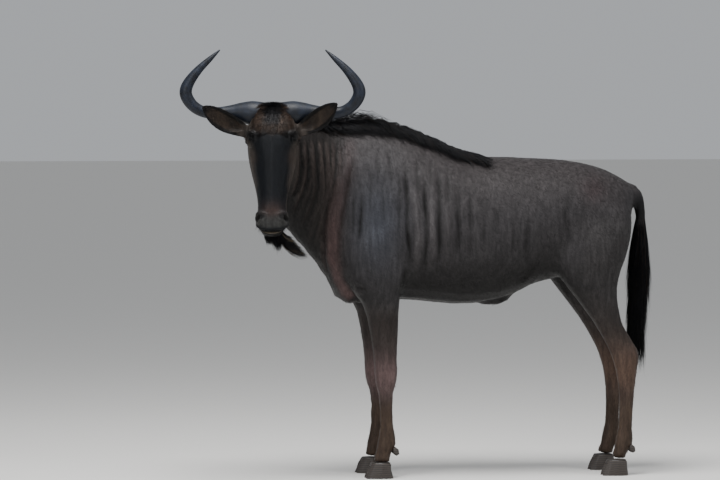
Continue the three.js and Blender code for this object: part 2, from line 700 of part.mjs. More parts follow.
for (const { name, side } of SIDES) {
  const towards = -side; // the head's left is +x in its own frame
  headGroup.add(
    mesh(`${name}_horn`, hornWith(towards, 0), HORN, 0.4),
    mesh(`${name}_ear`, earWith(towards, 0), COAT.slate),
    mesh(`${name}_eye`, eyeWith(towards, 0), "#120d0b", 0.1),
  );
}
animal.add(headGroup);

animal.position.set(-OUTLINE_MIDDLE.x, -OUTLINE_MIDDLE.y, 0);

const part = new THREE.Group();
part.add(animal);
export default part;
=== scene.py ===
import math

import bmesh
import bpy
import numpy as np
from mathutils import Matrix, Vector
from mathutils.kdtree import KDTree


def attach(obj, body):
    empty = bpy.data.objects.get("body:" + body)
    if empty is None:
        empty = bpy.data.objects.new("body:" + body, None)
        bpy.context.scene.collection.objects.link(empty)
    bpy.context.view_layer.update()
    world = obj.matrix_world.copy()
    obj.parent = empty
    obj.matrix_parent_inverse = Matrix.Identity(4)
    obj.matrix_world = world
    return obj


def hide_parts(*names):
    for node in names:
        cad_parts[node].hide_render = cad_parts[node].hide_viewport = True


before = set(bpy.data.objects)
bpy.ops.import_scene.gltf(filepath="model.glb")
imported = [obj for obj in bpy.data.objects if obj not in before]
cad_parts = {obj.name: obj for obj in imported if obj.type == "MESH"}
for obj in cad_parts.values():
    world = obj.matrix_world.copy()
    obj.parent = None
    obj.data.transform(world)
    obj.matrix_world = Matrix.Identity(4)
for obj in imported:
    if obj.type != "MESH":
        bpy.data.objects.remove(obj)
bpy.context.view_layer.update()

scene = bpy.context.scene


# Floor, light and camera. The bull stands on a plain pale floor under broad soft lamps, seen from
# its left side and a little above its back, from 17 m away through a long lens.
TARGET = np.array([-0.2015, 0.1235, 0.915])
LOOK = {"azimuth": math.radians(-8.5), "elevation": math.radians(2.2), "distance": 17.0, "width": 2.79}
back_of_view = Vector((
    math.sin(LOOK["azimuth"]) * math.cos(LOOK["elevation"]),
    -math.cos(LOOK["azimuth"]) * math.cos(LOOK["elevation"]),
    math.sin(LOOK["elevation"]),
))


def placed(name, data):
    """A new object in the scene, at the origin."""
    made = bpy.data.objects.new(name, data)
    scene.collection.objects.link(made)
    return made


camera = placed("camera", bpy.data.cameras.new("camera"))
camera.location = Vector(TARGET) + back_of_view * LOOK["distance"]
camera.rotation_euler = back_of_view.to_track_quat("Z", "Y").to_euler()
camera.data.sensor_width = 36
camera.data.lens = camera.data.sensor_width * LOOK["distance"] / LOOK["width"]
camera.data.clip_end = 200
scene.camera = camera


def linear(hex_colour):
    """An sRGB hex colour as linear red, green, blue and alpha."""
    parts = [int(hex_colour[i:i + 2], 16) / 255 for i in (1, 3, 5)]
    return [c / 12.92 if c <= 0.04045 else ((c + 0.055) / 1.055) ** 2.4 for c in parts] + [1.0]


def material(name):
    """An empty node material with its Principled shader and output."""
    made = bpy.data.materials.new(name)
    made.use_nodes = True
    return made, made.node_tree, made.node_tree.nodes["Principled BSDF"]


def add(tree, kind, settings=None, **links):
    """Adds a node. settings are its properties; a link is a socket's value or the socket that feeds it."""
    node = tree.nodes.new(kind)
    for key, value in (settings or {}).items():
        setattr(node, key, value)
    for key, value in links.items():
        socket = node.inputs[int(key[1:])] if key[1:].isdigit() else node.inputs[key.replace("_", " ")]
        if isinstance(value, bpy.types.NodeSocket):
            tree.links.new(value, socket)
        else:
            socket.default_value = value
    return node


FLOOR = {"half": 60.0, "colour": "#e4e2de"}
floor_mesh = bpy.data.meshes.new("floor")
h = FLOOR["half"]
floor_mesh.from_pydata([(-h, -h, 0), (h, -h, 0), (h, h, 0), (-h, h, 0)], [], [(0, 1, 2, 3)])
floor = placed("floor", floor_mesh)
floor_paint, tree, shader = material("matt_floor_paint")
shader.inputs["Base Color"].default_value = linear(FLOOR["colour"])
shader.inputs["Roughness"].default_value = 0.9
floor_mesh.materials.append(floor_paint)

world = bpy.data.worlds.new("studio")
world.use_nodes = True
world.node_tree.nodes["Background"].inputs["Color"].default_value = (0.86, 0.89, 0.93, 1)
world.node_tree.nodes["Background"].inputs["Strength"].default_value = 0.5
scene.world = world
LAMPS = [  # name, place, size, watts
    ("top_lamp", (-0.6, -1.3, 4.8), 2.6, 300),
    ("front_lamp", (-3.6, -4.8, 2.6), 1.8, 90),
    ("tail_lamp", (4.2, -3.2, 3.2), 2.6, 70),
]
LAMP_AIM = Vector((-0.1, 0.1, 0.9))
for name, place, size, watts in LAMPS:
    lamp = placed(name, bpy.data.lights.new(name, "AREA"))
    lamp.data.shape = "DISK"
    lamp.data.size = size
    lamp.data.energy = watts
    lamp.location = place
    lamp.rotation_euler = (Vector(place) - LAMP_AIM).to_track_quat("Z", "Y").to_euler()


# Hide. One skin runs over trunk, neck, head, ears, tail dock and legs with no seam. It is made from
# the solids' flesh, rounded and then worked in millimetres: lids, nostrils, lips, neck folds, the
# loose roll before the shoulder, brindle ridges, joints and tendons.
FLESH = ["torso", "neck", "head", "left_ear", "right_ear", "tail_dock"] + [
    f"{side}_{leg}leg_{part}"
    for side in ("left", "right") for leg in ("fore", "hind") for part in ("upper", "lower")
]
VOXEL = 0.0027
COAT_DEPTH = 1.5  # mm that the skin lies inside the solids
HIDE_FACES = 196000


def flesh_copy(names, swell, mound=None):
    """The solids' nodes as one loose mesh, each swollen a little so that neighbours run together, and
    with a ball laid over them by the mound's matrix where there is one."""
    whole = bmesh.new()
    for name in names:
        part = bmesh.new()
        part.from_mesh(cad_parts[name].data)
        bmesh.ops.remove_doubles(part, verts=part.verts, dist=1e-6)
        part.normal_update()
        for vertex in part.verts:
            vertex.co += vertex.normal * swell.get(name, swell["other"])
        loose = bpy.data.meshes.new("loose")
        part.to_mesh(loose)
        whole.from_mesh(loose)
        part.free()
        bpy.data.meshes.remove(loose)
    if mound is not None:
        bmesh.ops.create_uvsphere(whole, u_segments=28, v_segments=18, radius=1, matrix=mound)
    mesh = bpy.data.meshes.new("flesh")
    whole.to_mesh(mesh)
    whole.free()
    return mesh


def finished(holder, name):
    """An object's mesh as its modifiers leave it; the object goes."""
    made = bpy.data.meshes.new_from_object(holder.evaluated_get(bpy.context.evaluated_depsgraph_get()))
    bpy.data.objects.remove(holder)
    made.name = name
    return made


def after(mesh, name, kind, **settings):
    """The mesh after one modifier, as a new mesh."""
    holder = placed(name, mesh)
    modifier = holder.modifiers.new(kind, kind)
    for key, value in settings.items():
        setattr(modifier, key, value)
    return finished(holder, name)


def smooth_shaded(mesh):
    mesh.polygons.foreach_set("use_smooth", np.ones(len(mesh.polygons), bool))


def places(mesh):
    """Vertex places in millimetres."""
    flat = np.empty(len(mesh.vertices) * 3, np.float32)
    mesh.vertices.foreach_get("co", flat)
    return flat.reshape(-1, 3).astype(float) * 1000


def put(mesh, points):
    mesh.vertices.foreach_set("co", (points / 1000).astype(np.float32).ravel())
    mesh.update()


def normals_of(mesh):
    flat = np.empty(len(mesh.vertices) * 3, np.float32)
    mesh.vertex_normals.foreach_get("vector", flat)
    return flat.reshape(-1, 3).astype(float)


def evened(mesh, values, amount, rounds, pushes=(0.6, -0.62)):
    """Values at the vertices, evened over the mesh; a push back after each keeps a form from shrinking."""
    pairs = np.empty(len(mesh.edges) * 2, np.int32)
    mesh.edges.foreach_get("vertices", pairs)
    i, j = pairs.reshape(-1, 2).T
    count = len(values)
    degree = np.bincount(i, minlength=count) + np.bincount(j, minlength=count)
    values = values.copy()
    for _ in range(rounds):
        for push in pushes:
            total = np.stack([
                np.bincount(i, values[j, c], count) + np.bincount(j, values[i, c], count) for c in range(3)
            ], axis=1)
            values += (total / degree[:, None] - values) * (push * amount)[:, None]
    return values


def finer(mesh, chosen, cuts):
    """Splits the edges between chosen vertices and evens out the new ones; returns the places."""
    work = bmesh.new()
    work.from_mesh(mesh)
    work.verts.ensure_lookup_table()
    edges = [edge for edge in work.edges if chosen[edge.verts[0].index] and chosen[edge.verts[1].index]]
    before = len(work.verts)
    bmesh.ops.subdivide_edges(work, edges=edges, cuts=cuts, use_grid_fill=True)
    work.to_mesh(mesh)
    work.free()
    amount = np.concatenate([chosen, np.ones(len(mesh.vertices) - before, bool)]) * 0.9
    return relaxed(mesh, amount, 3)


def relaxed(mesh, amount, rounds):
    """Evens out the facets of a mesh without shrinking it."""
    points = evened(mesh, places(mesh), amount, rounds)
    put(mesh, points)
    return points


def calm_normals(mesh, rounds):
    """Normals of the broad form, without its folds."""
    return unit(evened(mesh, normals_of(mesh), np.ones(len(mesh.vertices)), rounds, (0.8,)))


def unit(v):
    return v / np.maximum(np.linalg.norm(v, axis=-1, keepdims=True), 1e-9)


def step(value, low, high):
    """0 below low, 1 above high, smooth between; low may be above high."""
    t = np.clip((value - low) / (high - low), 0, 1)
    return t * t * (3 - 2 * t)


def bell(value, width):
    return np.exp(-(value / width) ** 2)


def blob(points, centre, radii):
    """1 at a centre, falling to 0 a few radii away."""
    return np.exp(-(((points - np.array(centre)) / np.array(radii)) ** 2).sum(axis=-1))


HEAD_PLACE = np.array([-591.5, -246.5, 1309.0])
HEAD_YAW = math.radians(-8.5)


def in_head(points):
    """Places in the head's own frame: x to its left, y backwards, z up, from between the eyes."""
    c, s = math.cos(HEAD_YAW), math.sin(HEAD_YAW)
    x, y, z = (points - HEAD_PLACE).T
    return np.stack([x * c + y * s, y * c - x * s, z], axis=1)


def from_head(points):
    c, s = math.cos(HEAD_YAW), math.sin(HEAD_YAW)
    x, y, z = np.asarray(points, float).T
    return np.stack([x * c - y * s, y * c + x * s, z], axis=1) + HEAD_PLACE


def turned_with_head(directions):
    """Directions in the head's own frame as directions of the whole."""
    return from_head(directions) - HEAD_PLACE


def on_flank(points):
    """Distance along the flank and height, square to the view of the left side; mirrored for the right."""
    middle = TARGET * 1000
    across = np.where(points[:, 1] < middle[1], points[:, 1], 2 * middle[1] - points[:, 1]) - middle[1]
    c, s = math.cos(LOOK["azimuth"]), math.sin(LOOK["azimuth"])
    return np.stack([(points[:, 0] - middle[0]) * c + across * s, points[:, 2]], axis=1)


def from_line(flat, line):
    """How far each flat point is from a line of points, and where along the line, 0 to 1."""
    line = np.array(line, float)
    runs = np.linalg.norm(np.diff(line, axis=0), axis=1)
    before = np.concatenate([[0], np.cumsum(runs)])
    nearest = np.full(len(flat), 1e9)
    share = np.zeros(len(flat))
    for k, (a, b) in enumerate(zip(line[:-1], line[1:])):
        t = np.clip(((flat - a) @ (b - a)) / runs[k] ** 2, 0, 1)
        gap = np.linalg.norm(flat - a - t[:, None] * (b - a), axis=1)
        closer = gap < nearest
        nearest[closer] = gap[closer]
        share[closer] = ((before[k] + t * runs[k]) / before[-1])[closer]
    return nearest, share


def line_weight(flat, line, width):
    """1 on the line, fading across its width and at both ends."""
    gap, share = from_line(flat, line)
    return bell(gap, width) * (0.25 + 0.75 * step(share, 0, 0.25) * step(share, 1, 0.8))


NECK_FOLDS = [  # distance along the flank, height
    [(-226, 1310), (-221, 1232), (-226, 1167), (-240, 1114), (-264, 1078)],
    [(-203, 1305), (-194, 1214), (-197, 1167), (-209, 1114), (-232, 1060), (-256, 1005)],
    [(-171, 1310), (-162, 1202), (-159, 1131), (-170, 1072), (-188, 1025), (-222, 955)],
    [(-141, 1315), (-130, 1202), (-125, 1131), (-131, 1072), (-148, 1025), (-176, 940), (-196, 880)],
    [(-116, 1310), (-111, 1202), (-112, 1131), (-122, 1072), (-140, 1000), (-158, 900)],
    [(-92, 1300), (-92, 1214), (-98, 1143), (-110, 1084), (-131, 1030), (-137, 937), (-133, 848),
     (-110, 775)],
]
SHOULDER_ROLL = [(-38, 1290), (-52, 1178), (-85, 1071), (-103, 965), (-108, 858), (-90, 765), (-45, 705)]
STRIPES = [  # place at top, middle and foot; top and foot heights; half width; depth; darkness
    (-22, -52, -68, 1225, 985, 8, 5.0, 0.9), (5, 2, -8, 1120, 900, 9, 4.0, 0.8),
    (-20, -26, -32, 1090, 930, 6, 2.2, 0.45), (40, 38, 36, 1200, 1010, 5, 1.6, 0.35),
    (66, 70, 62, 1250, 1090, 6, 2.0, 0.5), (88, 90, 90, 1180, 960, 6, 1.6, 0.35),
    (112, 117, 118, 1265, 1100, 7, 2.2, 0.55), (146, 152, 148, 1215, 900, 7, 2.4, 0.5),
    (176, 181, 194, 1205, 812, 9, 7.0, 1.0), (212, 222, 226, 1230, 1060, 6, 2.0, 0.5),
    (240, 255, 247, 1160, 800, 8, 6.5, 1.0), (298, 305, 297, 1190, 800, 10, 5.5, 0.95),
    (270, 272, 272, 1240, 1120, 7, 2.0, 0.55), (334, 342, 338, 1200, 900, 7, 2.4, 0.5),
    (370, 377, 370, 1130, 850, 11, 3.4, 0.75), (416, 425, 420, 1110, 850, 10, 3.0, 0.65),
    (468, 475, 477, 1080, 900, 10, 2.4, 0.5), (514, 521, 524, 1060, 930, 9, 2.0, 0.45),
    (594, 590, 582, 1025, 850, 12, 2.5, 0.5), (647, 642, 635, 1000, 850, 12, 2.5, 0.5),
    (-60, -78, -80, 1060, 850, 6, 3.0, 0.6), (206, 222, 214, 1120, 805, 12, -4.5, -1.0),
    (266, 279, 269, 1160, 805, 12, -4.5, -1.0), (330, 338, 331, 1090, 850, 13, -2.5, -0.6),
]
STRIPE_PHASE = 1.7  # from one stripe's wander to the next one's
CREASES = [  # depth, half width, line: elbow, armpit, flank and stifle
    (3.0, 5, [(-62, 724), (-20, 717), (20, 700)]), (3.5, 5, [(-58, 705), (-15, 691), (16, 676)]),
    (2.5, 6, [(-44, 745), (0, 738), (32, 722)]), (5.0, 8, [(177, 815), (167, 762), (150, 712)]),
    (4.0, 9, [(704, 838), (670, 810), (641, 776), (602, 740)]),
    (2.0, 6, [(845, 737), (888, 728), (926, 736)]),
    (2.0, 6, [(858, 702), (900, 692), (936, 702)]), (2.5, 12, [(820, 1120), (790, 1020), (800, 930)]),
]
LEG_HOLLOWS = [  # depth, half width, line in the part's own x and z: tendons and muscle edges
    (3.0, 6, [(-112, 345), (-110, 250), (-114, 160)]), (3.0, 6, [(824, 330), (829, 250), (826, 165)]),
    (6.0, 11, [(757, 650), (776, 612), (806, 545), (838, 495)]),
    (2.6, 9, [(-122, 640), (-120, 540), (-112, 455)]),
]


def stripe_weight(flat, stripe, phase):
    """1 along a stripe that runs down the side with a slight wander, fading at its ends."""
    top, mid, foot, high, low, width = stripe[:6]
    t = (high - flat[:, 1]) / (high - low)
    line = top * (1 - t) * (1 - 2 * t) + mid * 4 * t * (1 - t) + foot * t * (2 * t - 1)
    line = line + 2.5 * np.sin(flat[:, 1] / 33 + phase)
    strength = np.clip(0.85 + 0.25 * np.sin(flat[:, 1] / 43 + 2.3 * phase), 0.6, 1)
    return bell(flat[:, 0] - line, width) * step(t, -0.06, 0.25) * step(t, 1.08, 0.7) * strength


def neck_wrinkles(flat):
    """Fine wrinkles beside the fourth neck fold, -1 in their valleys and 1 on their crests."""
    gap, _ = from_line(flat, NECK_FOLDS[3])
    return np.sin(gap / 2.1 + 1.6 * np.sin(flat[:, 1] / 57)) * step(np.abs(gap), 105, 80)


SCALP = {"centre": (0, 56, 115), "radii": (0.064, 0.034, 0.022)}  # the mound that bears the forelock
scalp = (Matrix.Translation(from_head([SCALP["centre"]])[0] / 1000) @ Matrix.Rotation(HEAD_YAW, 4, "Z")
         @ Matrix.Diagonal((*SCALP["radii"], 1)))
flesh = flesh_copy(FLESH, {"other": 0.0006, "left_ear": 0.0011, "right_ear": 0.0011}, scalp)
leg_form = after(flesh.copy(), "leg_form", "REMESH", mode="VOXEL", voxel_size=0.0055)
relaxed(leg_form, np.ones(len(leg_form.vertices)), 28)
trunk_form = after(flesh.copy(), "trunk_form", "REMESH", mode="VOXEL", voxel_size=0.012)
put(trunk_form, evened(trunk_form, places(trunk_form), np.ones(len(trunk_form.vertices)), 14, (0.6,)))
hide_mesh = after(flesh, "hide", "REMESH", mode="VOXEL", voxel_size=VOXEL)
rough = places(hide_mesh)
head = in_head(rough)
EYES = [(sign * 84.0, 8.0, 0.0) for sign in (1, -1)]
NOSTRILS = [(sign * 54.0, -106.0, -290.0) for sign in (1, -1)]
fine = sum(blob(head, spot, (40, 40, 36)) for spot in EYES)
fine = fine + sum(blob(head, spot, (17, 17, 21)) for spot in NOSTRILS)
in_ear = step(np.abs(head[:, 0]), 96, 116) * step(head[:, 1], 110, 80) * step(head[:, 2], -14, 6)
in_trunk = step(rough[:, 2], 700, 800) * step(head[:, 1], 150, 250) * step(rough[:, 0], 862, 835)


def weighted(holder, name, share):
    """A vertex group that holds each vertex's share in steps of a tenth."""
    group = holder.vertex_groups.new(name=name)
    for level in range(1, 11):
        chosen = np.nonzero(np.round(share * 10) == level)[0]
        group.add(chosen.tolist(), level / 10, "REPLACE")


in_leg = np.clip(1 - 1.4 * fine, 0, 1) * (1 - in_ear)
holder = placed("hide_rough", hide_mesh)
for name, form, share in (("leg", leg_form, in_leg), ("trunk", trunk_form, in_trunk)):
    weighted(holder, name, share)
    wrap = holder.modifiers.new(name, "SHRINKWRAP")
    wrap.target = placed(name + "_form", form)
    wrap.wrap_method = "NEAREST_SURFACEPOINT"
    wrap.vertex_group = name
hide_mesh = finished(holder, "hide")
for name in ("leg_form", "trunk_form"):
    bpy.data.objects.remove(bpy.data.objects[name])
points = relaxed(hide_mesh, 1 - 0.9 * in_ear, 9)
outward = normals_of(hide_mesh)
calm = calm_normals(hide_mesh, 12)
head = in_head(points)
flank = on_flank(points)
left = step(calm[:, 1], 0.25, -0.35)
right = step(calm[:, 1], -0.25, 0.35)
either = np.maximum(left, right)
middle_y = TARGET[1] * 1000
SHEATH = (313.5, middle_y, 690)

push = -COAT_DEPTH * (1 - in_ear) * (1 - in_trunk)
neck_side = left * step(flank[:, 0], -20, -70) * step(head[:, 1], 120, 170)
for fold in NECK_FOLDS:
    gap, share = from_line(flank, fold)
    ends = step(share, 0, 0.2) * step(share, 1, 0.85)
    push += neck_side * ends * (3.5 * bell(gap - 13, 8) - 6.5 * bell(gap, 5.5))
push += neck_side * 0.9 * neck_wrinkles(flank) * step(flank[:, 1], 900, 1000)
far_neck = right * step(points[:, 0], -220, -300) * step(points[:, 2], 1330, 1250)
push += far_neck * 2.2 * np.sin(points[:, 0] / 9.5 + 1.6 * np.sin(points[:, 2] / 90))
gap, share = from_line(flank, SHOULDER_ROLL)
push += either * 13 * bell(gap, 29) * step(share, -0.02, 0.3)
for number, stripe in enumerate(STRIPES):
    push -= either * 1.25 * stripe[6] * stripe_weight(flank, stripe, number * STRIPE_PHASE)
for depth, width, line in CREASES:
    push -= either * depth * line_weight(flank, line, width)
for depth, width, line in LEG_HOLLOWS:
    push -= either * depth * line_weight(points[:, [0, 2]], line, width)
points += calm * push[:, None]
sheath = blob(points, SHEATH, (130, 80, 60))
put(hide_mesh, points)
points = evened(hide_mesh, points, np.clip(1.6 * sheath, 0, 1), 10, (0.6,))
folded = np.clip(neck_side + either * step(flank[:, 0], 330, 290) * step(flank[:, 0], -160, -120), 0, 1)
put(hide_mesh, points)
points = evened(hide_mesh, points, folded * 0.8, 3, (0.6,))

# Lids close over the eyeball except for the opening between them, where the skin sinks behind it;
# each point's height over the globe's middle is set from how far it lies from the opening.
EYE_RADIUS = 19.0
MOUTH = {"y": -86.0, "z": -330.0, "lean": math.radians(26)}
head = in_head(points)
room = sum(blob(head, spot, (30, 30, 30)) for spot in EYES)
room = room + sum(blob(head, spot, (20, 22, 24)) for spot in NOSTRILS)
room = np.maximum(room, blob(head, (0, MOUTH["y"], MOUTH["z"]), (90, 60, 16)))
points = finer(hide_mesh, room > 0.35, 1)
head = in_head(points)
for sign, centre in zip((1, -1), EYES):
    offset = head - np.array(centre)
    aside = offset[:, 0] * sign
    flat = np.hypot(offset[:, 1], offset[:, 2])
    tilted = offset[:, 2] - 0.12 * offset[:, 1]
    opening = np.hypot((offset[:, 1] + 3) / 15.5, tilted / np.where(tilted > 0, 8.5, 6.0))
    lid = np.sqrt((EYE_RADIUS + 1.8) ** 2 - np.minimum(flat, 17) ** 2)
    lid += (1.5 * bell(opening - 1.22, 0.16) - 1.8 * bell(opening - 1.8, 0.16)
            + 1.2 * bell(opening - 2.15, 0.22))
    behind = np.sqrt((EYE_RADIUS - 2.5) ** 2 - np.minimum(flat, 15) ** 2)
    height = behind + (lid - behind) * step(opening, 0.92, 1.08)
    hold = step(flat, 33, 17) * (aside > -17)
    head[:, 0] += sign * (height - aside) * hold
points = from_head(head)
put(hide_mesh, points)

# Nostrils, lips and chin, pressed in or raised along the surface.
def over_lip(head):
    """Height over the slit of the mouth, square to it."""
    lean = MOUTH["lean"]
    return (head[:, 2] - MOUTH["z"]) * math.cos(lean) - (head[:, 1] - MOUTH["y"]) * math.sin(lean)


outward = normals_of(hide_mesh)
head = in_head(points)
push = np.zeros(len(points))
above = over_lip(head)
muzzle = step(head[:, 2], -250, -290) * step(head[:, 1], -10, -50)
push -= muzzle * 6.5 * bell(above, 3.2)
push += muzzle * 2.2 * bell(above - 9, 6)
push -= muzzle * 8 * step(above, 2, -5) * step(np.abs(head[:, 0]), 26, 52)
for centre in NOSTRILS:
    o = head - np.array(centre)
    slit = np.sqrt((o[:, 2] / 17) ** 2 + ((o[:, 1] + 0.35 * o[:, 2]) / 8) ** 2 + (o[:, 0] / 26) ** 2)
    push += -9 * bell(slit, 0.75) + 1.8 * bell(slit - 1.5, 0.35)
put(hide_mesh, points + outward * push[:, None])

# Flat parts are thinned; face, neck folds and near flank keep most of their faces.
head = in_head(places(hide_mesh))
keep = step(head[:, 1], 190, 120) * step(head[:, 2], -440, -420) * 0.75 + 0.25
side_place = on_flank(places(hide_mesh))
folds_seen = step(side_place[:, 0], 360, 320) * step(side_place[:, 1], 700, 780)
keep += 0.25 * folds_seen * step(places(hide_mesh)[:, 1], 100, 0)
detail = sum(blob(head, spot, (38, 38, 38)) for spot in EYES + NOSTRILS)
holder = placed("hide_fine", hide_mesh)
weighted(holder, "keep", np.clip(keep + detail, 0, 1))
thin = holder.modifiers.new("thin", "DECIMATE")
thin.ratio = min(1, HIDE_FACES / (2 * len(hide_mesh.polygons)))
thin.vertex_group = "keep"
thin.invert_vertex_group = True
thin.vertex_group_factor = 6
hide_mesh = finished(holder, "hide")
hide = placed("hide", hide_mesh)
smooth_shaded(hide_mesh)

# Thinning folds a few faces of trunk and legs over; the places round them are evened flat again,
# while the head, whose lids and lips turn as sharply on purpose, is left alone.
head = in_head(places(hide_mesh))
body = (head[:, 1] > 190) | (head[:, 2] < -440)
for _ in range(3):
    outward = normals_of(hide_mesh)
    everywhere = np.ones(len(outward))
    near = unit(evened(hide_mesh, outward, everywhere, 2, (0.9,)))
    turned = body * step((outward * near).sum(axis=1), 0.95, 0.8)
    turned = evened(hide_mesh, np.repeat(turned[:, None], 3, axis=1), everywhere, 2, (0.9,))[:, 0]
    put(hide_mesh, evened(hide_mesh, places(hide_mesh), np.minimum(8 * turned, 1), 4, (0.6,)))

# Colours of the coat, linear, named for the part or the marking that wears them. Some are painted
# light: the fold colour is painted shade in creases and hollows and also stands for the dark brindle;
# the ridge colours are painted highlight on raised ridges and crests; the bluish shoulder colour is a
# painted sheen; the underside colour is painted shade under the body; the neck colour is partly
# painted shadow.
COAT = {name: np.array(linear(value)[:3]) for name, value in {
    "slate": "#2f2d2e", "back": "#302c2c", "underside_shade": "#141313", "blue_sheen": "#34363c", "roll": "#463736",
    "fold": "#080707", "neck": "#181513", "ridge": "#413e3f", "neck_crest_highlight": "#3b3330", "face": "#06080c",
    "cheek": "#3d3733", "brow": "#231c17", "russet": "#33271f", "patch": "#060609", "bridge": "#281d1a",
    "muzzle": "#323231", "lip": "#4c4130", "chin": "#0b0a09", "rust": "#32292a",
    "ear": "#1a1512", "ear_rim": "#060505", "ear_inside": "#2a221c", "ear_hair": "#4b4138",
    "leg": "#282321", "knee": "#554544", "hock": "#4b3b32", "cannon": "#3c3027", "tail": "#101011",
    "thigh": "#2e2c2c",
}.items()}


from_ear_front = np.array([math.sin(HEAD_YAW), -math.cos(HEAD_YAW), 0.15])
EAR = {  # in the head's frame, the left tip first; half widths from root to tip
    "root": (80, 50, 24), "tips": ((244, -8, 137), (262, -8, 125)), "widths": (22, 30, 36, 39, 36, 27, 4),
}


def on_ear(head):
    """Share of the ear's length, place across it from -1 to 1 at its rims, and 1 on the ears."""
    share, aside, weight = np.zeros(len(head)), np.zeros(len(head)), np.zeros(len(head))
    for sign, tip in zip((1, -1), EAR["tips"]):
        mirror = head * np.array([sign, 1, 1])
        root, end = np.array(EAR["root"], float), np.array(tip, float)
        along = unit(end - root)
        across = unit(np.cross(along, [0, -1, 0]))
        offset = mirror - root
        t = offset @ along / np.linalg.norm(end - root)
        here = (mirror[:, 0] > 0) & (t > 0.0)
        width = np.interp(t, [0, 0.24, 0.38, 0.54, 0.7, 0.84, 1], EAR["widths"])
        side = (offset @ across - 9 * np.sin(math.pi * np.clip(t, 0, 1))) / width
        near = here * step(t, 0.14, 0.26) * step(np.abs(side), 1.7, 1.3) * step(mirror[:, 1], 100, 80)
        share[here], aside[here], weight[here] = t[here], side[here], near[here]
    return share, aside, weight


def blend(colour, name, weight):
    return colour + (COAT[name] - colour) * np.clip(weight, 0, 1)[:, None]


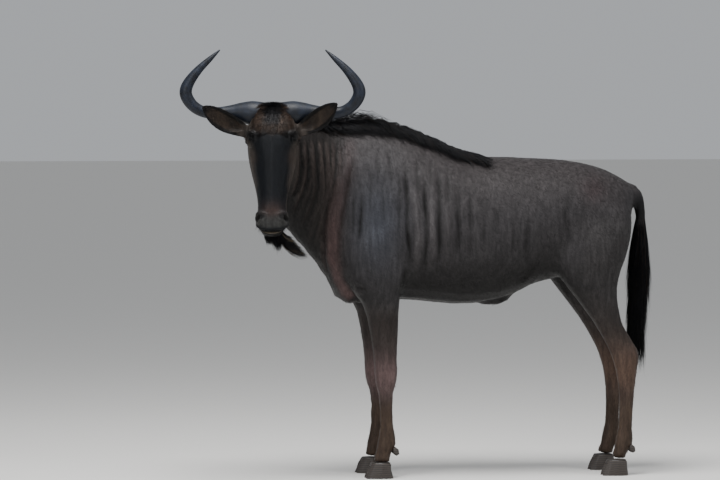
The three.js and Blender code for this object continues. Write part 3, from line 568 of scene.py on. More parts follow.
def coat_colour_with_painted_light(points, outward):
    """The coat's colour at places on the hide with the broad form's normals, for the skin and for the
    hair that grows there, with painted shade in creases, hollows and under the body, and painted
    highlight on ridges."""
    x, y, z = points.T
    head = in_head(points)
    flank = on_flank(points)
    s = flank[:, 0]
    either = step(np.abs(outward[:, 1]), 0.2, 0.6)
    left = step(outward[:, 1], 0.1, -0.3)
    colour = np.tile(COAT["slate"], (len(points), 1))
    body = step(z, 560, 700)
    colour = blend(colour, "back", 0.8 * step(outward[:, 2], 0.1, 0.85) * body)
    # Painted sheen: a bluish highlight laid on the shoulder and upper arm.
    colour = blend(colour, "blue_sheen", 0.85 * blob(flank, (66, 985), (95, 170)) * either)
    # The neck is darkened, partly for its own darker coat and partly as painted shadow cast by the head.
    colour = blend(colour, "neck", step(s, -10, -130) * 0.8)
    colour = blend(colour, "thigh", 0.8 * step(s, 820, 900) * step(z, 1050, 950))
    # Painted shade: the underside and the low flank between the legs are darkened where shade falls under the
    # body.
    colour = blend(colour, "underside_shade", step(outward[:, 2], 0.1, -0.8) * body * 0.9)
    colour = blend(colour, "underside_shade", 0.65 * step(z, 880, 720) * step(s, 160, 230) * step(s, 800, 640) * body)
    colour = blend(colour, "rust", 0.7 * blob(flank, (905, 1110), (45, 50)) * either)
    on_neck = left * step(head[:, 1], 110, 150)
    # Painted shade in the grooves of the neck folds and painted highlight on the raised crests beside them;
    # the valleys of the fine wrinkles get painted shade as well.
    for line in NECK_FOLDS:
        gap, share = from_line(flank, line)
        ends = on_neck * step(share, -0.02, 0.12) * step(share, 1.02, 0.8)
        fade = np.interp(flank[:, 1], (1060, 1200), (0.4, 0.9))
        colour = blend(colour, "neck_crest_highlight", 0.7 * fade * ends * bell(gap - 13, 6.5))
        colour = blend(colour, "fold", 0.85 * fade * ends * bell(gap, 6.5))
    valleys = np.maximum(-neck_wrinkles(flank), 0)
    colour = blend(colour, "fold", 0.4 * valleys * on_neck * step(flank[:, 1], 900, 1000))
    # Along the stripes the fold colour is painted shade in the sunken grooves and also stands for the dark
    # brindle; the ridge colour is painted highlight on the raised ridges.
    for number, stripe in enumerate(STRIPES):
        weight = either * stripe_weight(flank, stripe, number * STRIPE_PHASE)
        colour = blend(colour, "fold" if stripe[7] > 0 else "ridge", np.clip(abs(stripe[7]) * weight, 0, 1))
    # Painted shade in the creases at elbow, armpit, flank and stifle.
    for depth, width, line in CREASES:
        colour = blend(colour, "fold", 0.16 * depth * either * line_weight(flank, line, width))
    gap, share = from_line(flank, SHOULDER_ROLL)
    colour = blend(colour, "roll", either * bell(gap, 29) ** 1.3 * (0.25 + 0.75 * step(share, 0.1, 0.8)))
    foreleg = step(z, 700, 600) * step(x, 60, 0)
    colour = blend(colour, "leg", foreleg)
    colour = blend(colour, "knee", 0.9 * foreleg * bell(z - 385, 85))
    colour = blend(colour, "cannon", 0.8 * foreleg * step(z, 330, 250))
    hindleg = step(z, 760, 560) * step(x, 350, 450)
    colour = blend(colour, "leg", 0.75 * hindleg)
    colour = blend(colour, "hock", 0.95 * hindleg * bell(z - 400, 115) * step(x, 560, 640))
    colour = blend(colour, "cannon", 0.8 * hindleg * step(z, 330, 250))
    colour = blend(colour, "tail", step(x, 868, 890) * step(z, 1130, 1060))
    # Face
    face = step(head[:, 1], 175, 120) * step(head[:, 2], -420, -400) * step(np.abs(head[:, 0]), 190, 130)
    hx, hy, hz = np.abs(head[:, 0]), head[:, 1], head[:, 2]
    skin = np.tile(COAT["cheek"], (len(points), 1))
    blotch = 0.5 + 0.5 * np.sin(head[:, 0] / 9 + 2 * np.sin(hz / 17)) * np.sin(hz / 11 + head[:, 0] / 23)
    skin = blend(skin, "brow", step(hz, 0, 40) * step(hx, 92, 70))
    skin = blend(skin, "russet", 0.8 * blotch * step(hz, 10, 50) * step(hx, 92, 60))
    edge = np.interp(hz, (-225, -100, -60, 0, 24), (66, 62, 70, 84, 90)) + 5 * np.sin(hz / 21)
    ahead = step(outward @ from_ear_front, -0.1, 0.35)
    skin = blend(skin, "face", step(hx, edge + 16, edge - 12) * step(hz + 10 * blotch, 54, 18) * ahead)
    # Painted shadow under the brows, over the eyes.
    skin = blend(skin, "face", 0.8 * bell(hz - 17, 15) * bell(hx - 72, 24) * ahead)
    front = np.stack([hx, hz], axis=1)
    skin = blend(skin, "russet", 0.35 * blob(front, (70, -68), (13, 26)))
    # More painted shadow under the brow.
    skin = blend(skin, "fold", 0.85 * blob(front, (74, 24), (30, 20)))
    skin = blend(skin, "patch", 0.9 * step(hx + 8 * blotch, 46, 22) * step(hz + 14 * blotch, 54, 84))
    bridge = blob(front, (0, -268), (42, 34))
    skin = blend(skin, "bridge", bridge)
    skin = blend(skin, "muzzle", step(hz, -262, -292) * (1 - 0.7 * bridge))
    lip = over_lip(head)
    low = step(hz, -280, -310) * step(hy, 0, -60)
    skin = blend(skin, "face", bell(lip - 9, 9) * low)
    skin = blend(skin, "chin", step(lip, -5, -7.5) * low)
    skin = blend(skin, "lip", 0.75 * bell(lip + 5.0, 0.9) * low * step(hx, 46, 30))
    # Painted shade in the slit of the mouth and, below, inside the nostrils.
    skin = blend(skin, "fold", bell(lip, 2.9) * low)
    for centre in NOSTRILS:
        o = head - np.array(centre)
        hollow = np.sqrt((o[:, 2] / 17) ** 2 + ((o[:, 1] + 0.35 * o[:, 2]) / 13) ** 2 + (o[:, 0] / 36) ** 2)
        skin = blend(skin, "fold", step(hollow, 1.1, 0.75))
    # Painted shade round the eyes, in the sockets under the brows.
    for centre in EYES:
        skin = blend(skin, "fold", 0.95 * blob(head, centre, (34, 32, 24)))
    colour += (skin - colour) * face[:, None]
    share, aside, ear = on_ear(head)
    inside = step(outward @ from_ear_front, 0.1, 0.55)
    skin = np.tile(COAT["ear"], (len(points), 1))
    skin = blend(skin, "ear_inside", inside * (0.6 + 0.4 * np.sin(share * 14 + aside * 3)))
    skin = blend(skin, "ear_rim", np.maximum(step(np.abs(aside), 0.5, 0.74), step(share, 0.82, 0.93)))
    colour += (skin - colour) * ear[:, None]
    return colour


skin_points, skin_outward = places(hide_mesh), calm_normals(hide_mesh, 5)
skin_colour = coat_colour_with_painted_light(skin_points, skin_outward)


def keep_colour(mesh, colours):
    """Stores one linear colour for each vertex, which the hide and hair materials read."""
    layer = mesh.color_attributes.new("coat", "FLOAT_COLOR", "POINT")
    flat = np.ones((len(mesh.vertices), 4), np.float32)
    flat[:, :3] = colours
    layer.data.foreach_set("color", flat.ravel())


# The skin's colours, painted shade and highlight among them, are kept in its coat attribute.
keep_colour(hide_mesh, skin_colour)

# The first axis of the comb runs along the lie: back and down on the body, down on face and legs.
on_body = skin_points / 1000
slope = math.radians(35)
body_comb = np.stack([
    on_body[:, 0] * math.cos(slope) - on_body[:, 2] * math.sin(slope),
    on_body[:, 1],
    on_body[:, 0] * math.sin(slope) + on_body[:, 2] * math.cos(slope),
], axis=1)
upright = on_body[:, [2, 1, 0]]
head = in_head(skin_points)
facial = step(head[:, 1], 130, 120) * step(np.abs(head[:, 0]), 190, 180)
turned = np.maximum(step(skin_points[:, 2], 760, 730), facial)
comb = body_comb + (upright - body_comb) * (turned > 0.5)[:, None]
layer = hide_mesh.attributes.new("comb", "FLOAT_VECTOR", "POINT")
layer.data.foreach_set("vector", comb.astype(np.float32).ravel())

# Short sleek hair on skin: the coat's colour broken by fine hairs lying back and down, with the
# soft sheen of a groomed coat and a grain about 1 mm wide, drawn coarser so that it shows.
short_coat, tree, shader = material("short_sleek_coat")
coat = add(tree, "ShaderNodeAttribute", {"attribute_name": "coat"})
place = add(tree, "ShaderNodeTexCoord")
comb = add(tree, "ShaderNodeAttribute", {"attribute_name": "comb"})
lie = add(tree, "ShaderNodeMapping", Vector=comb.outputs["Vector"], Scale=(60, 380, 380))
grain = add(tree, "ShaderNodeTexNoise", Vector=lie.outputs["Vector"], Scale=1.0, Detail=3.0, Roughness=0.6)
cloud = add(tree, "ShaderNodeTexNoise", Vector=place.outputs["Object"], Scale=14.0, Detail=4.0)
mottle = add(tree, "ShaderNodeMapRange", Value=cloud.outputs["Fac"], To_Min=0.78, To_Max=1.25)
streak = add(tree, "ShaderNodeMapRange", Value=grain.outputs["Fac"],
             From_Min=0.3, From_Max=0.7, To_Min=0.72, To_Max=1.3)
upright_lie = add(tree, "ShaderNodeMapping", Vector=place.outputs["Object"], Scale=(75, 75, 11))
brindle = add(tree, "ShaderNodeTexNoise", Vector=upright_lie.outputs["Vector"],
              Scale=1.0, Detail=3.0, Roughness=0.55)
bars = add(tree, "ShaderNodeMapRange", Value=brindle.outputs["Fac"],
           From_Min=0.35, From_Max=0.65, To_Min=0.74, To_Max=1.26)
coarse = add(tree, "ShaderNodeMath", {"operation": "MULTIPLY"},
             i0=mottle.outputs["Result"], i1=bars.outputs["Result"])
both = add(tree, "ShaderNodeMath", {"operation": "MULTIPLY"},
           i0=coarse.outputs["Value"], i1=streak.outputs["Result"])
shade = add(tree, "ShaderNodeVectorMath", {"operation": "SCALE"},
            i0=coat.outputs["Color"], Scale=both.outputs["Value"])
tree.links.new(shade.outputs["Vector"], shader.inputs["Base Color"])
pores = add(tree, "ShaderNodeTexNoise", Vector=place.outputs["Object"], Scale=160.0, Detail=3.0)
height = add(tree, "ShaderNodeMath", {"operation": "MULTIPLY_ADD"},
             i0=pores.outputs["Fac"], i1=0.5, i2=grain.outputs["Fac"])
bump = add(tree, "ShaderNodeBump", Strength=0.45, Distance=0.0016, Height=height.outputs["Value"])
tree.links.new(bump.outputs["Normal"], shader.inputs["Normal"])
shader.inputs["Specular IOR Level"].default_value = 0.15
shader.inputs["Roughness"].default_value = 0.52
shader.inputs["Sheen Weight"].default_value = 0.02
shader.inputs["Sheen Roughness"].default_value = 0.4
hide_mesh.materials.clear()
hide_mesh.materials.append(short_coat)
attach(hide, "root")
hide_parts(*FLESH)


# Horns. Smooth dark keratin over bone, swelling to bosses that nearly meet between the ears, out
# and down, then up and in to sharp tips, with one finish all over and a faint ripple along their middle.
HORN_ROWS = [
    (34, 74, 98, 44), (80, 76, 101, 46), (120, 78, 103, 38), (160, 78, 102, 29), (211, 76, 100, 23.5),
    (263, 74, 106, 21.5), (301, 66, 128, 22), (324, 58, 160, 23.5), (328, 55, 189, 23.5),
    (313, 55, 223, 20.5), (279, 58, 266, 15.5), (236, 64, 307, 10), (200, 72, 340, 2.5),
]


def spline(rows, u):
    """Catmull-Rom through rows, u from 0 to the last row."""
    rows = np.array(rows, float)
    last = len(rows) - 1
    i = np.minimum(np.floor(u).astype(int), last - 1)
    t = (u - i)[:, None]
    a, b, c, d = (rows[np.clip(i + k, 0, last)] for k in (-1, 0, 1, 2))
    return b + 0.5 * t * (c - a + t * (2 * a - 5 * b + 4 * c - d + t * (3 * (b - c) + d - a)))


def add_object(name, points, faces):
    """A smooth object from places in millimetres and faces, which are turned to point outwards."""
    mesh = bpy.data.meshes.new(name)
    mesh.from_pydata((np.asarray(points) / 1000).tolist(), [], faces)
    mesh.update()
    work = bmesh.new()
    work.from_mesh(mesh)
    bmesh.ops.recalc_face_normals(work, faces=work.faces)
    work.to_mesh(mesh)
    work.free()
    smooth_shaded(mesh)
    return placed(name, mesh)


horn_coat, tree, shader = material("worn_horn_keratin")
place = add(tree, "ShaderNodeTexCoord")
growth = add(tree, "ShaderNodeTexNoise", Vector=place.outputs["Object"],
             Scale=38.0, Detail=6.0, Roughness=0.62)
tone = add(tree, "ShaderNodeValToRGB", Fac=growth.outputs["Fac"])
tone.color_ramp.elements[0].position, tone.color_ramp.elements[0].color = 0.3, linear("#0e0f12")
tone.color_ramp.elements[1].position, tone.color_ramp.elements[1].color = 0.75, linear("#1e2532")
tree.links.new(tone.outputs["Color"], shader.inputs["Base Color"])
scratch = add(tree, "ShaderNodeTexNoise", Vector=place.outputs["Object"], Scale=150.0, Detail=5.0)
bump = add(tree, "ShaderNodeBump", Strength=0.35, Distance=0.0012, Height=scratch.outputs["Fac"])
tree.links.new(bump.outputs["Normal"], shader.inputs["Normal"])
shader.inputs["Roughness"].default_value = 0.48
shader.inputs["Specular IOR Level"].default_value = 0.26
for side, sign in (("left", 1), ("right", -1)):
    rings, sides = 110, 36
    u = np.linspace(0, len(HORN_ROWS) - 1, rings)
    line = spline(HORN_ROWS, u)
    line[:, 0] *= sign
    centre, radius = line[:, :3], line[:, 3]
    along = np.gradient(centre, axis=0)
    along /= np.linalg.norm(along, axis=1)[:, None]
    across = np.cross(along, [0, 1, 0])
    across /= np.linalg.norm(across, axis=1)[:, None]
    other = np.cross(across, along)
    turn = np.linspace(0, 2 * math.pi, sides, endpoint=False)
    rough = 1 + 0.006 * np.sin(u * 7)[:, None] * step(u, 8, 4)[:, None] * step(u, 1.5, 3)[:, None]
    size = (radius[:, None] * rough * 0.995)[:, :, None]
    ring = across[:, None] * np.cos(turn)[None, :, None] + other[:, None] * np.sin(turn)[None, :, None]
    shell = centre[:, None] + ring * size
    faces = [
        (r * sides + k, r * sides + (k + 1) % sides, (r + 1) * sides + (k + 1) % sides, (r + 1) * sides + k)
        for r in range(rings - 1) for k in range(sides)
    ]
    faces += [tuple(range(sides))[::-1], tuple((rings - 1) * sides + k for k in range(sides))]
    horn = add_object(f"horn_{side}", from_head(shell.reshape(-1, 3)), faces)
    horn.data.materials.append(horn_coat)
    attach(horn, "root")
    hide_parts(f"{side}_horn")


# Eyes. A dark wet globe, nearly black brown, set deep between the lids; its front swells a little
# where the cornea is, and the iris is drawn by the distance from the line of sight.
eye_wet, tree, shader = material("wet_brown_eye")
gaze = add(tree, "ShaderNodeAttribute", {"attribute_name": "gaze"})
from_pupil = add(tree, "ShaderNodeVectorMath", {"operation": "LENGTH"}, i0=gaze.outputs["Vector"])
iris = add(tree, "ShaderNodeValToRGB", Fac=from_pupil.outputs["Value"])
for at in (0.48, 0.62):
    iris.color_ramp.elements.new(at)
for element, value in zip(iris.color_ramp.elements, ("#0d0806", "#160d08", "#0a0605", "#090505")):
    element.color = linear(value)
tree.links.new(iris.outputs["Color"], shader.inputs["Base Color"])
shader.inputs["Roughness"].default_value = 0.12
shader.inputs["Specular IOR Level"].default_value = 0.22
for side, sign, centre in zip(("left", "right"), (1, -1), EYES):
    ball = bmesh.new()
    bmesh.ops.create_uvsphere(ball, u_segments=40, v_segments=28, radius=EYE_RADIUS * 0.985)
    mesh = bpy.data.meshes.new(f"eye_{side}")
    ball.to_mesh(mesh)
    ball.free()
    flat = np.empty(len(mesh.vertices) * 3, np.float32)
    mesh.vertices.foreach_get("co", flat)
    globe = flat.reshape(-1, 3).astype(float)
    facing = globe @ np.array([sign * 0.985, -0.15, 0.0]) / EYE_RADIUS
    hidden = np.where(facing > 0, 0.0, 1.0)
    gaze = np.stack([globe[:, 1] / EYE_RADIUS, globe[:, 2] / EYE_RADIUS, hidden], axis=1)
    globe *= (1 + 0.03 * step(facing, 0.72, 1.0))[:, None]
    put(mesh, from_head(globe + np.array(centre)))
    layer = mesh.attributes.new("gaze", "FLOAT_VECTOR", "POINT")
    layer.data.foreach_set("vector", gaze.astype(np.float32).ravel())
    smooth_shaded(mesh)
    mesh.materials.append(eye_wet)
    eye = placed(f"eye_{side}", mesh)
    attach(eye, "root")
    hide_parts(f"{side}_eye")


# Hooves and dewclaws. Dark horn, worn dull, with faint growth rings level with the coronet. They are
# the solids themselves with their edges rounded, the soles kept on the ground.
hoof_horn, tree, shader = material("worn_hoof_horn")
place = add(tree, "ShaderNodeTexCoord")
growth = add(tree, "ShaderNodeTexWave", {"bands_direction": "Z"}, Vector=place.outputs["Object"],
             Scale=42.0, Distortion=2.5, Detail=3.0)
tone = add(tree, "ShaderNodeValToRGB", Fac=growth.outputs["Color"])
tone.color_ramp.elements[0].color = linear("#1c1816")
tone.color_ramp.elements[1].color = linear("#3a322c")
tree.links.new(tone.outputs["Color"], shader.inputs["Base Color"])
bump = add(tree, "ShaderNodeBump", Strength=0.5, Distance=0.001, Height=growth.outputs["Fac"])
tree.links.new(bump.outputs["Normal"], shader.inputs["Normal"])
shader.inputs["Roughness"].default_value = 0.5
for side in ("left", "right"):
    for leg in ("fore", "hind"):
        group = [f"{side}_{leg}_hoof", f"{side}_{leg}_dewclaw_inner", f"{side}_{leg}_dewclaw_outer"]
        for name in group:
            solid = flesh_copy([name], {"other": 0.0001})
            mesh = after(solid, name, "REMESH", mode="VOXEL", voxel_size=0.003)
            hoof_points = relaxed(mesh, np.full(len(mesh.vertices), 0.9), 8)
            hoof_points[:, 2] = np.maximum(hoof_points[:, 2], 0)
            put(mesh, hoof_points)
            smooth_shaded(mesh)
            mesh.materials.clear()
            mesh.materials.append(hoof_horn)
            piece = placed("horn_" + name, mesh)
            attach(piece, "root")
            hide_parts(name)


# Long hair. Mane, forelock, beard and tail brush grow in clumps of tapering hairs that bend along
# their lie; each hair is a thin closed blade whose patch on the map sits at its root's place.
HAIR_PATCH = 0.003  # width of each hair's patch on the map
MAP_WINDOWS = {  # left, bottom, right and top of each region's window on the map
    "trunk": (0.0, 0.0, 1.0, 0.42), "head": (0.0, 0.43, 0.42, 0.99),
    "legs": (0.44, 0.43, 0.99, 0.78), "tail": (0.44, 0.8, 0.99, 0.99),
}


def unwrapped(points, region):
    """Where a place on the hide falls when its region is slit along one side and rolled out flat."""
    x, y, z = points.T
    if region == "head":
        h = in_head(points)
        across, down = np.arctan2(h[:, 0], 60 - h[:, 1]) / (2 * math.pi) + 0.5, (h[:, 2] + 430) / 620
    elif region == "legs":
        fore = x < 200
        right = y > middle_y
        cx = np.where(fore, -140, 790 - 0.25 * (z - 430))
        cy = np.where(right, 247, 0)
        across = (np.arctan2(y - cy, x - cx) / (2 * math.pi) + 0.5 + 2 * fore + right) / 4
        down = z / 760
    elif region == "tail":
        across, down = np.arctan2(y - middle_y, x - 905) / (2 * math.pi) + 0.5, z / 1150
    else:
        across, down = (x + 900) / 1850, np.arctan2(y - middle_y, 950 - z) / (2 * math.pi) + 0.5
    u0, v0, u1, v1 = MAP_WINDOWS[region]
    return np.stack([u0 + (u1 - u0) * np.clip(across, 0, 1), v0 + (v1 - v0) * np.clip(down, 0, 1)], axis=1)


skin_tree = KDTree(len(skin_points))
for i, p in enumerate(skin_points):
    skin_tree.insert(p, i)
skin_tree.balance()


def nearest_on_skin(points):
    """The nearest place of the hide and its normal, for roots that must sit in the skin."""
    found = np.array([skin_tree.find(p)[1] for p in points])
    return skin_points[found], skin_outward[found]


def blades(name, root, starts, ends, out, length, width, rings, colour, region,
           sway=0.0, seed=1, thick=0.45, lift=None, smooth=True):
    """Hairs from their roots: a hair leaves along starts and turns to ends. With a lift, its height
    over the skin at root, middle and tip, it follows the skin."""
    draw = np.random.default_rng(seed)
    count = len(root)
    line = [root]
    heading = []
    phase = draw.uniform(0, 2 * math.pi, count)
    sideways = np.cross(starts, out)
    for k in range(rings):
        t = (k + 0.5) / rings
        go = starts * (1 - t) + ends * t + sideways * (sway * np.sin(phase + 5 * t))[:, None]
        go /= np.linalg.norm(go, axis=1)[:, None]
        tip = line[-1] + go * (length / rings)[:, None]
        if lift is not None:
            base, normal = nearest_on_skin(tip)
            t = 2 * (k + 1) / rings
            low, mid, high = lift.T
            want = low + (mid - low) * min(t, 1) + (high - mid) * max(t - 1, 0)
            height = ((tip - base) * normal).sum(axis=1)
            tip = tip + normal * (want - height)[:, None]
            go = unit(tip - line[-1])
            out = unit(out * 0.3 + normal * 0.7)
        heading.append(go)
        line.append(tip)
    verts = []
    for k in range(rings):
        t = k / rings
        across = np.cross(heading[k], out)
        across /= np.maximum(np.linalg.norm(across, axis=1), 1e-6)[:, None]
        ridge = np.cross(across, heading[k])
        w = (width * (0.7 + 0.6 * t) * (1 - t) ** 0.7)[:, None]
        verts += [line[k] + across * w / 2, line[k] + ridge * w * thick, line[k] - across * w / 2]
    verts.append(line[rings])
    points = np.stack(verts, axis=1)
    per = 3 * rings + 1
    faces = [(0, 1, 2)]
    for k in range(rings - 1):
        for c in range(3):
            a, b = 3 * k + c, 3 * k + (c + 1) % 3
            faces += [(a, b + 3, b), (a, a + 3, b + 3)]
    for c in range(3):
        faces.append((3 * rings - 3 + c, 3 * rings, 3 * rings - 3 + (c + 1) % 3))
    faces = np.array(faces)
    all_faces = (np.arange(count)[:, None, None] * per + faces[None]).reshape(-1, 3)
    mesh = bpy.data.meshes.new(name)
    mesh.vertices.add(count * per)
    mesh.vertices.foreach_set("co", (points.reshape(-1, 3) / 1000).astype(np.float32).ravel())
    mesh.loops.add(len(all_faces) * 3)
    mesh.loops.foreach_set("vertex_index", all_faces.astype(np.int32).ravel())
    mesh.polygons.add(len(all_faces))
    mesh.polygons.foreach_set("loop_start", np.arange(0, len(all_faces) * 3, 3, dtype=np.int32))
    mesh.update(calc_edges=True)
    mesh.polygons.foreach_set("use_smooth", np.full(len(all_faces), smooth))
    home = unwrapped(root, region)
    t = np.array([k // 3 for k in range(3 * rings)] + [rings]) / rings
    c = np.array([k % 3 for k in range(3 * rings)] + [1]) / 2
    patch = np.stack([(c - 0.5) * HAIR_PATCH, (t - 0.5) * HAIR_PATCH], axis=1)
    uv = (home[:, None] + patch[None]).reshape(-1, 2)
    layer = mesh.uv_layers.new(name="OFBake")
    layer.data.foreach_set("uv", uv[all_faces.ravel()].astype(np.float32).ravel())
    keep_colour(mesh, np.repeat(colour, per, axis=0))
    return placed(name, mesh)


hair_black, tree, shader = material("coarse_black_hair")
strand = add(tree, "ShaderNodeAttribute", {"attribute_name": "coat"})
place = add(tree, "ShaderNodeTexCoord")
fleck = add(tree, "ShaderNodeTexNoise", Vector=place.outputs["Object"], Scale=90.0, Detail=2.0)
vary = add(tree, "ShaderNodeMapRange", Value=fleck.outputs["Fac"], To_Min=0.6, To_Max=1.5)
shade = add(tree, "ShaderNodeVectorMath", {"operation": "SCALE"},
            i0=strand.outputs["Color"], Scale=vary.outputs["Result"])
tree.links.new(shade.outputs["Vector"], shader.inputs["Base Color"])
shader.inputs["Roughness"].default_value = 0.5
shader.inputs["Specular IOR Level"].default_value = 0.14
hair_short, tree, shader = material("short_slate_hair")
strand = add(tree, "ShaderNodeAttribute", {"attribute_name": "coat"})
tree.links.new(strand.outputs["Color"], shader.inputs["Base Color"])
shader.inputs["Specular IOR Level"].default_value = 0.11
shader.inputs["Roughness"].default_value = 0.6
HAIR = {name: np.array(linear(value)[:3]) for name, value in {
    "black": "#08080b", "brown": "#221a15", "pale": "#6d6250",
}.items()}


def hair_colour(count, draw, brown=0.1, pale=0.0):
    mix = draw.uniform(0, 1, count)
    colours = np.tile(HAIR["black"], (count, 1)) * draw.uniform(0.6, 1.5, count)[:, None]
    colours[mix < brown] = HAIR["brown"]
    colours[mix > 1 - pale] = HAIR["pale"]
    return colours



# The mane. Long coarse black hair on the crest of the neck, from the poll to behind the withers. It
# leans back and falls over the left side in clumps, with stray upright wisps behind the ears.
CREST = [  # the line that the mane is rooted along
    (-561, -12, 1384), (-470, 30, 1382), (-386, 72, 1376), (-286, 100, 1372), (-181, 112, 1368),
    (-61, 116, 1346), (69, 116, 1290), (169, 118, 1246), (220, 120, 1230)]
draw = np.random.default_rng(21)
count = 5600
u = (len(CREST) - 1.35) * draw.uniform(0, 1, count) ** 0.85
clump = np.round(u * 9) / 9
line = spline(CREST, u)
across = draw.uniform(-1, 1, count)
line[:, 1] -= 12 + 17 * across
along = unit(spline(CREST, np.minimum(u + 0.05, len(CREST) - 1)) - spline(CREST, np.maximum(u - 0.05, 0)))
root, out = nearest_on_skin(line)
root = root - out * 2
lean = np.clip(draw.uniform(0, 1, count) * 0.8 + 0.2 * across + 0.15 * np.sin(clump * 23), 0, 1)
down = unit(np.cross(along, out)) * -1
down[down[:, 1] > 0] *= -1
early = step(u, 4.8, 3.4)
stand = early * (draw.uniform(0, 1, count) < 0.3)
start = unit(out * (0.5 + 0.9 * stand)[:, None] + along * 0.5 + down * (0.6 - 0.5 * stand)[:, None])
fall = (0.35 + 0.85 * lean) * (1 - 0.5 * stand)
end = unit(along * 0.7 + down * fall[:, None] + draw.normal(0, 0.06, (count, 3)))
length = draw.uniform(95, 165, count) * (0.74 + 0.26 * np.sin(clump * 17))
length = length * np.interp(u, (0, 1.5, 2.5, 7), (0.45, 0.65, 1, 1.1))
loft = draw.uniform(0, 1, count) ** 0.8
loft = loft * (1 + 2.6 * stand)
lift = np.stack([2 + 2 * loft, 5 + 13 * loft, 2.5 + 9 * loft], axis=1)
mane = blades("mane_hair", root, start, end, out, length, draw.uniform(2.0, 3.4, count), 6,
              hair_colour(count, draw, 0.05), "trunk", sway=0.07, seed=3, lift=lift)
mane.data.materials.append(hair_black)
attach(mane, "root")
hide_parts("mane")

# The tail brush. Long black hair that starts all round the dock, fuller towards its end, and hangs
# to a thin point at the hocks.
draw = np.random.default_rng(22)
count = 5200
height = 1000 - 330 * draw.uniform(0, 1, count) ** 1.1
DOCK = np.array([  # height, place along the body and radius of the dock, from its tip up
    (745, 625, 7), (830, 630, 12), (920, 636, 16), (1000, 638, 21), (1066, 628, 27), (1100, 598, 32),
    (1106, 560, 34),
])
mid = np.interp(height, DOCK[:, 0], DOCK[:, 1]) + 269.5
dock_radius = np.interp(height, DOCK[:, 0], DOCK[:, 2])
turn = draw.uniform(0, 2 * math.pi, count)
out = np.stack([np.cos(turn), np.sin(turn), np.zeros(count)], axis=1)
root = np.stack([mid, np.full(count, middle_y), height], axis=1) + out * (dock_radius * 0.8)[:, None]
fan = draw.uniform(0.0, 1.0, count) ** 0.6
start = unit(out * (0.10 + 0.10 * fan)[:, None] + np.array([-0.04, 0, -1.0]))
end = unit(np.array([-0.01, 0, -1.0]) + out * (0.06 * fan)[:, None] + draw.normal(0, 0.03, (count, 3)))
length = draw.uniform(200, 300, count) * np.where(height < 760, 1.0, 0.95)
low = 315 + 120 * draw.uniform(0, 1, count)
length = np.minimum(length, (height - low))
brush = blades("tail_hair", root, start, end, out, length, draw.uniform(1.8, 3.2, count), 6,
               hair_colour(count, draw, 0.04), "tail", sway=0.05, seed=4)
brush.data.materials.append(hair_black)
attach(brush, "root")
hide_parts("tail_brush")

# The beard. Coarse black hair in ragged tufts under the chin, with longer strands from the throat,
# a few of them pale, blown to the bull's left.
draw = np.random.default_rng(23)
count = 2800
back = draw.uniform(0, 1, count)
chin = draw.uniform(0, 1, count) < 0.68
back = np.where(chin, back * 0.5, 0.42 + back * 0.2)
spine = spline([(0, -66, -360), (0, -42, -352), (2, -12, -330), (4, 14, -302), (4, 34, -276)], back * 4)
spine[:, 0] += np.where(chin, draw.uniform(-34, 56, count), draw.normal(30, 6, count))
root, out = nearest_on_skin(from_head(spine))
root = root - out * 3
home = in_head(root)
bunch = np.round(home[:, 0] / 11) * 11 + 6 * np.sin(np.round(back * 14) * 2.1)
drop = 30 + 26 * bell(bunch - 22, 24) + 9 * np.sin(bunch * 0.7 + 1.5)
tip_chin = np.stack([6 + 0.8 * bunch, home[:, 1] + 4, home[:, 2] - drop], axis=1)
tip_throat = np.stack([
    100 + 0.3 * bunch + 5 * draw.normal(0, 1, count), home[:, 1] + 10,
    -462 + 0.3 * bunch + 6 * draw.normal(0, 1, count),
], axis=1)
aim = np.where(chin[:, None], tip_chin, tip_throat) + draw.normal(0, 5, (count, 3))
run = from_head(aim) - root
reach = np.where(chin, draw.uniform(0.6, 1.1, count), draw.uniform(0.45, 1.14, count))
length = np.linalg.norm(run, axis=1) * reach
left_of_head = turned_with_head([(1, 0, 0)])[0]
curl = np.where(chin, 0.1, 0.75)[:, None] * (np.array([0, 0, -1.0]) - 0.7 * left_of_head)
start = unit(unit(run) + curl)
end = unit(unit(run) - curl)
beard = blades("beard_hair", root, start, end, out, length, draw.uniform(1.5, 2.6, count), 6,
                np.where((chin | (home[:, 0] < 16) | (draw.uniform(0, 1, count) < 0.93))[:, None],
                        hair_colour(count, draw, 0.04), HAIR["pale"]), "head", sway=0.08, seed=5)
beard.data.materials.append(hair_black)
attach(beard, "root")
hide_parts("beard")

# The forelock. A mat of short brown hair over the forehead and the inner ends of the bosses, black
# down its middle, each hair lying outwards and down from the top of the poll.
draw = np.random.default_rng(24)
count = 6000
spot = np.stack([draw.uniform(-1, 1, count), draw.uniform(-36, 88, count), np.zeros(count)], axis=1)
spot[:, 0] *= 84 - 20 * step(spot[:, 1], 0, 40)
spot[:, 2] = 150 - 0.004 * spot[:, 0] ** 2 - 112 * step(spot[:, 1], 60, -36)
root, out = nearest_on_skin(from_head(spot))
root = root - out * 2
h = in_head(root)
forward = turned_with_head([(0, -1, 0)])[0]
spread = left_of_head[None] * (h[:, 0] / 80 * (1 + 1.5 * step(h[:, 2], 80, 110)))[:, None]
tangent = forward[None] * 0.5 + spread * 0.8 + np.array([0, 0, -1.0]) * step(h[:, 1], 80, 40)[:, None]
tangent = tangent + draw.normal(0, 0.3, (count, 3))
tangent -= out * (tangent * out).sum(axis=1)[:, None]
top = step(h[:, 2], 90, 125)
start = unit(out * (draw.uniform(0.15, 0.4, count) + 0.3 * top)[:, None] + unit(tangent))
end = unit(unit(tangent) + out * 0.04)
colours = coat_colour_with_painted_light(root, out)
beyond = h[:, 2] > 92
colours[beyond] = COAT["russet"]
colours[draw.uniform(0, 1, count) < 0.2] = HAIR["black"]
